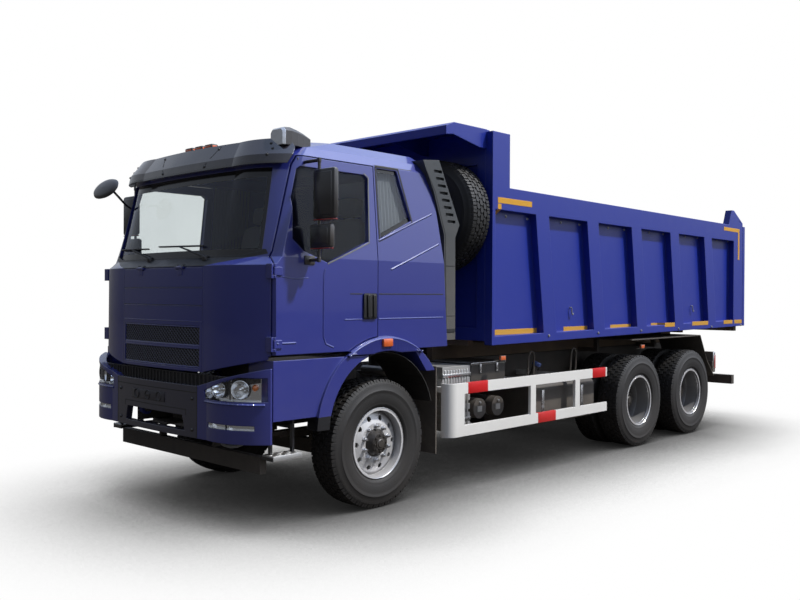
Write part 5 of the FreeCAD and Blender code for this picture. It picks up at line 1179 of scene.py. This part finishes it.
# Mirrors. Two glasses a side in black moulded shells with red reflectors below, on an upright tube
# between two brackets, and a round-backed mirror on a thin arm that looks down along the front.
mirror_shell = finish("mirror_shell", (0.010, 0.011, 0.014, 1), 0.33, 0.12, 1.8, 3.0, coat=0.4, relief=0.05)
for side, door in ((1, "left"), (-1, "right")):
    bm = bmesh.new()
    for y0, y1, z0, z1, soft in ((1.302, 1.550, 2.352, 2.733, 0.028), (1.264, 1.508, 2.137, 2.318, 0.026)):
        low, high = sorted((side * y0, side * y1))
        add_box(bm, (0.823, low, z0), (0.878, high, z1), soft * 0.9, 0)
        add_box(bm, (0.8215, low + 0.018, z0 + 0.018), (0.8265, high - 0.018, z1 - 0.018), 0.002, 1)
        add_box(bm, (0.870, low + 0.03, z0 + 0.03), (0.884, high - 0.03, z1 - 0.03), 0.006, 0)
        add_box(bm, (0.826, low + 0.01, z0 - 0.007), (0.872, high - 0.02, z0 + 0.003), 0.002, 2)
    stem_y = side * 1.350
    add_rod(bm, (0.850, stem_y, 2.04), (0.850, stem_y, 2.80), 0.012, 12, 0)
    for z, foot in ((2.800, 1.140), (2.050, 1.232)):
        add_rod(bm, (0.850, stem_y + side * 0.012, z), (0.850, side * foot, z), 0.013, 12, 0)
        low, high = sorted((side * foot, side * (foot + 0.018)))
        add_box(bm, (0.80, low, z - 0.035), (0.90, high, z + 0.035), 0.006, 0)
    for z in (2.80, 2.05):
        add_turned(bm, [(0.0, 0.02), (0.016, 0.016), (0.016, -0.016), (0.0, -0.02)], 12, (0.850, stem_y, z),
                   (0, 0, 1), 0)
    looks = [mirror_shell, mirror_chrome, lens_red]
    made = piece(door + "_mirrors", bm, door + "_door", looks, 40)
    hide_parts("mirror_" + door)
bm = bmesh.new()
head = []
for step in range(9):
    turn = math.pi * step / 8 - math.pi / 2
    head.append((0.205 * math.cos(turn), 0.034 * math.sin(turn) if turn > 0 else 0.010 * math.sin(turn)))
add_turned(bm, head, 28, (0, 0, 0), (0, 0, 1), 0)
add_turned(bm, [(0.0, -0.0112), (0.185, -0.0108), (0.19, -0.006)], 28, (0, 0, 0), (0, 0, 1), 1)
bmesh.ops.scale(bm, vec=(0.50, 1.0, 1.0), verts=bm.verts)
bmesh.ops.rotate(bm, cent=(0, 0, 0), matrix=Matrix.Rotation(math.radians(62), 3, "Y"), verts=bm.verts)
bmesh.ops.translate(bm, vec=(1.395, -0.890, 2.712), verts=bm.verts)
arm = [(1.015, -1.075, 2.555), (1.12, -1.04, 2.60), (1.22, -0.985, 2.66), (1.32, -0.925, 2.715),
       (1.388, -0.892, 2.712)]
for first, second in zip(arm, arm[1:]):
    add_rod(bm, first, second, 0.0105, 10, 0)
add_turned(bm, [(0.0, 0.012), (0.032, 0.010), (0.036, -0.012)], 16, (1.02, -1.073, 2.557),
           (0.75, -0.45, 0.3), 0)
made = piece("front_mirror_head", bm, "cab", [mirror_shell, mirror_chrome], 40)
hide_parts("front_mirror")

# Wipers. Two pressed arms in black paint with rubber blades, parked at the foot of the windscreen
# and turned by spindles that come up through the trough.
bm = bmesh.new()
for pivot_y, tip_y in ((-0.30, -0.98), (0.52, -0.20)):
    base = land(shell_skin, (1.30, pivot_y, 2.4), down)
    spot = base[0] if base else Vector((1.30, pivot_y, 2.08))
    add_turned(bm, [(0.0, 0.030), (0.020, 0.026), (0.026, 0.0), (0.026, -0.02)], 14, spot, (0.3, 0, 1), 0)
    hits = []
    for step in range(9):
        y = pivot_y + (tip_y - pivot_y) * (0.12 + 0.88 * step / 8)
        hit = land(glass_skin, (afar, y, 2.165 + 0.012 * step / 8), front)
        if hit:
            hits.append(hit[0] + hit[1] * 0.014)
    for first, second in zip(hits, hits[1:]):
        add_rod(bm, first, second, 0.007, 6, 1)
        add_rod(bm, first + Vector((0.010, 0, 0.002)), second + Vector((0.010, 0, 0.002)), 0.006, 6, 0)
    middle = hits[len(hits) // 2] + Vector((0.018, 0, 0.0))
    add_rod(bm, spot + Vector((0.0, 0, 0.018)), middle, 0.011, 8, 0, 0.006)
piece("wipers", bm, "cab", [black_trim, seam_black], 40)

# Cab interior. Cloth seats with foam cushions on moulded bases, a bunk behind them, and a grey
# moulded dashboard with the steering wheel on its column.
seat_cloth = finish("seat_cloth", (0.30, 0.29, 0.275, 1), 0.85, 0.2, 1.4, 1.6, grain=420.0, relief=0.8)
trim_grey = finish("trim_grey", (0.055, 0.056, 0.060, 1), 0.6, 0.2, 1.4, 1.6, grain=300.0, relief=0.5)
wheel_black = finish("wheel_black", (0.010, 0.010, 0.011, 1), 0.45, 0.1, grain=200.0, relief=0.4)


def soft_piece(name, low, high, lean=0.0, channels=0):
    """Foam cushion in cloth: a crowned closed form with drawn-in sides and sewn channels."""
    bm = bmesh.new()
    bmesh.ops.create_cube(bm, size=2.0)
    bmesh.ops.subdivide_edges(bm, edges=bm.edges[:], cuts=9, use_grid_fill=True)
    middle = (Vector(low) + Vector(high)) / 2
    half = (Vector(high) - Vector(low)) / 2
    for corner in bm.verts:
        x, y, z = corner.co
        ball = Vector((x * math.sqrt(1 - y * y / 2 - z * z / 2 + y * y * z * z / 3),
                       y * math.sqrt(1 - z * z / 2 - x * x / 2 + z * z * x * x / 3),
                       z * math.sqrt(1 - x * x / 2 - y * y / 2 + x * x * y * y / 3)))
        spot = corner.co.lerp(ball * 1.12, 0.38)
        spot = Vector([max(-1.0, min(1.0, value)) for value in spot])
        if channels:
            dip = abs(math.sin((y + 1) * math.pi * channels / 2)) ** 0.5
            spot.x = spot.x * (0.90 + 0.10 * dip)
            spot.z = spot.z * (0.94 + 0.06 * dip)
        corner.co = Vector((spot.x * half.x, spot.y * half.y, spot.z * half.z))
    if lean:
        bmesh.ops.rotate(bm, cent=(0, 0, 0), matrix=Matrix.Rotation(lean, 3, "Y"), verts=bm.verts)
    bmesh.ops.translate(bm, vec=middle, verts=bm.verts)
    made = piece(name, bm, "cab", [seat_cloth], 60)
    smoother = made.modifiers.new("smoother", "SUBSURF")
    smoother.levels = 1
    smoother.render_levels = 1


seat_y = 0.62
for side, name in ((1, "driver"), (-1, "passenger")):
    y = side * seat_y
    soft_piece(name + "_cushion", (-0.075, y - 0.245, 1.785), (0.435, y + 0.245, 1.925), 0.0, 4)
    soft_piece(name + "_backrest", (-0.12, y - 0.235, 1.90), (0.005, y + 0.235, 2.46), math.radians(-9), 4)
    soft_piece(name + "_headrest", (-0.195, y - 0.13, 2.475), (-0.085, y + 0.13, 2.64), math.radians(-9))
soft_piece("bunk_mattress", (-0.645, -1.045, 1.76), (-0.305, 1.045, 1.865), 0.0, 6)
bm = bmesh.new()
for side in (-1, 1):
    y = side * seat_y
    add_box(bm, (-0.04, y - 0.20, 1.452), (0.38, y + 0.20, 1.790), 0.03, 0)
    for stem_y in (y - 0.06, y + 0.06):
        add_rod(bm, (-0.125, stem_y, 2.43), (-0.140, stem_y, 2.50), 0.007, 8, 1)
add_box(bm, (-0.648, -1.048, 1.452), (-0.302, 1.048, 1.765), 0.02, 0)
dash_body = [(1.165, 1.455), (1.225, 2.020), (1.10, 2.045), (0.905, 2.005), (0.855, 1.90), (0.96, 1.50),
             (0.96, 1.455)]
dash_cover = [(1.22, 2.040), (1.08, 2.062), (0.92, 2.030), (0.90, 2.008), (1.10, 2.042)]
for outline, half, index in ((dash_body, 1.06, 0), (dash_cover, 1.05, 1)):
    add_shell(bm, [(x, -half, z) for x, z in outline], [(x, half, z) for x, z in outline], index)
add_box(bm, (0.845, 0.38, 1.93), (0.93, 0.86, 2.075), 0.03, 1)
for y in (0.47, seat_y, 0.77):
    add_turned(bm, [(0.0, 0.004), (0.040, 0.004), (0.044, 0.010), (0.047, 0.0)], 20, (0.846, y, 2.005),
               (-1, 0, 0.1), 2)
for y in (-0.62, 0.0, 0.20):
    for step in range(5):
        z = 1.925 + step * 0.012
        add_box(bm, (0.868, y - 0.075, z), (0.885, y + 0.075, z + 0.005), 0.001, 1)
wheel_spot = Vector((0.70, seat_y, 2.010))
wheel_way = Vector((0.35, 0, -0.94)).normalized()
column_way = Vector((0.62, 0, -0.55)).normalized()
rim_profile = [(0.225 + 0.0145 * math.cos(math.pi * step / 5), 0.0145 * math.sin(math.pi * step / 5))
               for step in range(11)]
add_turned(bm, rim_profile, 40, wheel_spot, -wheel_way, 1)
boss_profile = [(0.0, 0.016), (0.05, 0.014), (0.062, 0.0), (0.055, -0.03), (0.0, -0.035)]
add_turned(bm, boss_profile, 24, wheel_spot, -wheel_way, 1)
spin = wheel_way.to_track_quat("Z", "Y").to_matrix()
for turn in (0.35, math.pi - 0.35, math.pi * 1.5):
    tip = wheel_spot + spin @ Vector((0.215 * math.sin(turn), 0.215 * math.cos(turn), 0.0))
    add_rod(bm, wheel_spot, tip, 0.013, 8, 1, 0.010)
add_rod(bm, wheel_spot + wheel_way * 0.02, wheel_spot + column_way * 0.38, 0.034, 14, 1)
white_dial = finish("white_dial", (0.45, 0.45, 0.44, 1), 0.4, 0.05, relief=0.1)
made = piece("cab_furniture", bm, "cab", [trim_grey, wheel_black, white_dial], 35)
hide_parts("cab_interior")

# Snorkel trim. The intake's two moulded halves meet in a black seam down the front edge, with a
# rubber boot at its foot.
snorkel_skin = surface_of("snorkel")
to_right = (0, -1, 0)
bm = bmesh.new()
seam = [(-0.470, afar, 2.930), (-0.618, afar, 2.700), (-0.757, afar, 2.330), (-0.776, afar, 1.400)]
add_strip(bm, snorkel_skin, seam, to_right, 0.010, 0.0012, 0)
for z, width, proud in ((1.47, 0.030, 0.006), (1.60, 0.008, 0.001), (2.05, 0.008, 0.001)):
    add_strip(bm, snorkel_skin, [(-0.770, afar, z), (-0.892, afar, z)], to_right, width, proud, 0)
piece("snorkel_trim", bm, "cab", [seam_black], 30)

# Load body trim. Bolts under the top rail, rope hooks of bent bar, studs on the sill, and yellow
# reflective tape along the sides and round their corners.
tape_yellow = finish("reflective_yellow", (0.72, 0.36, 0.012, 1), 0.35, 0.15, 1.2, 2.2, relief=0.25,
                     grain=380.0)
hook_steel = finish("hook_steel", (0.30, 0.31, 0.33, 1), 0.35, 0.3, 1.2, 2.2, metallic=0.8)
rib_pitch = 0.965
for side, name in ((1, "left"), (-1, "right")):
    skin = surface_of("bed_side_" + name, "headboard")
    inward = (0, -side, 0)
    far = side * afar
    bm = bmesh.new()
    dashes = [(-1.440, -2.255), (-6.965, -7.215)]
    dashes += [(-2.750 - rib_pitch * bay, max(-6.900, -3.222 - rib_pitch * bay)) for bay in range(5)]
    for first, last in dashes:
        add_strip(bm, skin, [(first, far, 1.428), (last, far, 1.428)], inward, 0.052, 0.0012, 0)
    corners = (((-1.520, 2.250), (-1.520, 2.665), 0.055), ((-1.492, 2.700), (-2.050, 2.697), 0.055),
               ((-6.600, 2.720), (-7.120, 2.714), 0.050), ((-7.095, 2.690), (-7.095, 2.300), 0.050))
    for first, last, width in corners:
        add_strip(bm, skin, [(x, far, z) for x, z in (first, last)], inward, width, 0.0012, 0)
    for bay in range(6):
        for x in (-2.08 - rib_pitch * bay, -1.72 - rib_pitch * bay):
            hit = land(skin, (x, far, 2.560), inward)
            if hit:
                add_bolt(bm, hit[0], hit[1], 0.016, 1)
        hit = land(skin, (-2.36 - rib_pitch * bay, far, 1.375), inward)
        if hit:
            stud = [(0.0, 0.010), (0.012, 0.010), (0.014, 0.0), (0.014, -0.004)]
            add_turned(bm, stud, 12, hit[0], hit[1], 1)
    for bay in (1, 4):
        x = -1.90 - rib_pitch * bay
        hit = land(skin, (x, far, 1.62), inward)
        if hit:
            y = hit[0].y
            out = side * 0.028
            hook = [(x, y, 1.66), (x, y + out, 1.655), (x, y + out, 1.60), (x - 0.02, y + out, 1.58),
                    (x - 0.03, y + out, 1.60)]
            for start, end in zip(hook, hook[1:]):
                add_rod(bm, start, end, 0.007, 8, 1)
    piece(name + "_body_trim", bm, "load_body", [tape_yellow, hook_steel], 30)

# Guard bands. Red reflective sheet wrapped round the white-painted steel rails of the side guards,
# two on the upper rail and one on the lower.
band_red = finish("reflective_red", (0.62, 0.004, 0.008, 1), 0.3, 0.1, 0.4, 1.0, relief=0.2, grain=380.0)
bm = bmesh.new()
for side in (-1, 1):
    low, high = sorted((side * 1.1995, side * 1.2338))
    for first, last, centre in ((-1.070, -1.365, 0.932), (-3.225, -3.500, 0.932), (-2.190, -2.510, 0.543)):
        add_box(bm, (last, low, centre - 0.0515), (first, high, centre + 0.0515), 0.002, 0)
piece("guard_bands", bm, "chassis", [band_red], 30)

# Under the body. Ribbed aluminium heat shield over the silencer, its bent tail pipe with a clamp,
# a lidded battery box, air tanks with their plates, and the fuel tank with straps and a blue cap.
dull_alloy = finish("dull_alloy", (0.42, 0.42, 0.41, 1), 0.4, 0.3, 0.3, 1.2, metallic=0.85, relief=0.3)
cap_blue = finish("cap_blue", (0.02, 0.07, 0.30, 1), 0.4, 0.2, 0.6, 1.6, relief=0.1)
tag_pale = finish("tag_pale", (0.52, 0.52, 0.50, 1), 0.5, 0.3, 0.3, 1.2, relief=0.1)
box_black = finish("box_black", (0.010, 0.010, 0.011, 1), 0.45, 0.3, 0.3, 1.3, radius=0.006, relief=0.3)
dress(box_black, "tanks")
bm = bmesh.new()
for step in range(9):
    x = -0.945 - step * 0.040
    add_box(bm, (x - 0.011, 0.60, 0.56), (x + 0.011, 1.068, 1.09), 0.008, 0)
for z in (0.60, 1.02):
    add_box(bm, (-1.308, 1.062, z), (-0.903, 1.070, z + 0.035), 0.003, 1)
clamp = [(0.046, -0.012), (0.053, -0.011), (0.053, 0.011), (0.046, 0.012)]
for z in (0.96, 1.02):
    add_turned(bm, clamp, 24, (-0.805, 0.93, z), (0, 0, 1), 1)
add_box(bm, (-1.862, 0.55, 1.118), (-1.315, 1.068, 1.140), 0.006, 2)
for x in (-1.72, -1.46):
    add_box(bm, (x - 0.014, 1.060, 1.04), (x + 0.014, 1.072, 1.125), 0.004, 1)
air_tank_y = 0.94
air_tank_z = 0.688
tank_band = [(0.0985, -0.012), (0.0995, -0.010), (0.0995, 0.010), (0.0985, 0.012)]
for x in (-1.482, -1.770):
    add_box(bm, (x - 0.035, 1.038, 0.655), (x + 0.035, 1.044, 0.712), 0.002, 3)
    add_turned(bm, tank_band, 32, (x, air_tank_y, air_tank_z), (0, 1, 0), 1)
    add_turned(bm, [(0.0, 0.016), (0.012, 0.014), (0.014, 0.0)], 12, (x, 1.040, 0.745), (0, 1, 0), 1)
for x in (-2.45, -3.20):
    add_box(bm, (x - 0.022, 1.108, 0.50), (x + 0.022, 1.116, 0.80), 0.002, 1)
    add_box(bm, (x - 0.022, 0.60, 0.868), (x + 0.022, 1.04, 0.876), 0.002, 1)
add_rod(bm, (-2.40, 0.96, 0.865), (-2.45, 1.02, 1.05), 0.032, 16, 2)
cap = [(0.0, 0.030), (0.040, 0.028), (0.048, 0.018), (0.048, -0.012), (0.034, -0.016)]
add_turned(bm, cap, 22, (-2.452, 1.024, 1.062), (-0.05, 0.06, 0.19), 4)
for x in (-2.30, -3.10):
    loop = [(x - 0.05, 1.05, 0.868), (x - 0.05, 1.07, 1.16), (x - 0.02, 1.07, 1.205), (x + 0.02, 1.07, 1.205),
            (x + 0.05, 1.07, 1.16), (x + 0.05, 1.05, 0.868)]
    for start, end in zip(loop, loop[1:]):
        add_rod(bm, start, end, 0.010, 10, 5)
fitting_looks = [dull_alloy, bright_steel, box_black, tag_pale, cap_blue, black_trim]
piece("under_body_fittings", bm, "chassis", fitting_looks, 35)

# Side markers. Orange plastic marker lamps below the load body, each screwed to a small black
# sheet bracket on the frame.
bm = bmesh.new()
for side in (-1, 1):
    for x in (-1.60, -4.35):
        low, high = sorted((side * 1.150, side * 1.222))
        add_box(bm, (x - 0.045, low, 1.150), (x + 0.045, high, 1.158), 0.002, 0)
        low, high = sorted((side * 1.212, side * 1.236))
        add_box(bm, (x - 0.042, low, 1.158), (x + 0.042, high, 1.206), 0.006, 1)
piece("side_markers", bm, "chassis", [black_trim, marker_orange], 35)

# Entry steps. Bright steel rung on each side, punched with raised holes for grip and bolted to the
# straps that hang below the entry panel.
rung_steel = finish("rung_steel", (0.55, 0.55, 0.54, 1), 0.38, 0.3, 0.2, 1.0, metallic=0.9, relief=0.4,
                    grain=160.0)
bm = bmesh.new()
for side in (-1, 1):
    low, high = sorted((side * 1.056, side * 1.196))
    add_box(bm, (0.876, low, 0.5725), (1.154, high, 0.584), 0.003, 0)
    low, high = sorted((side * 1.190, side * 1.198))
    add_box(bm, (0.876, low, 0.543), (1.154, high, 0.586), 0.002, 0)
    for column in range(6):
        for row in range(3):
            spot = (0.905 + column * 0.044, side * (1.082 + row * 0.042), 0.584)
            add_turned(bm, [(0.0, 0.0015), (0.011, 0.0015), (0.014, 0.004), (0.017, 0.0)], 12, spot,
                       (0, 0, 1), (row + column) % 2)
piece("step_rungs", bm, "chassis", [rung_steel, seam_black], 30)
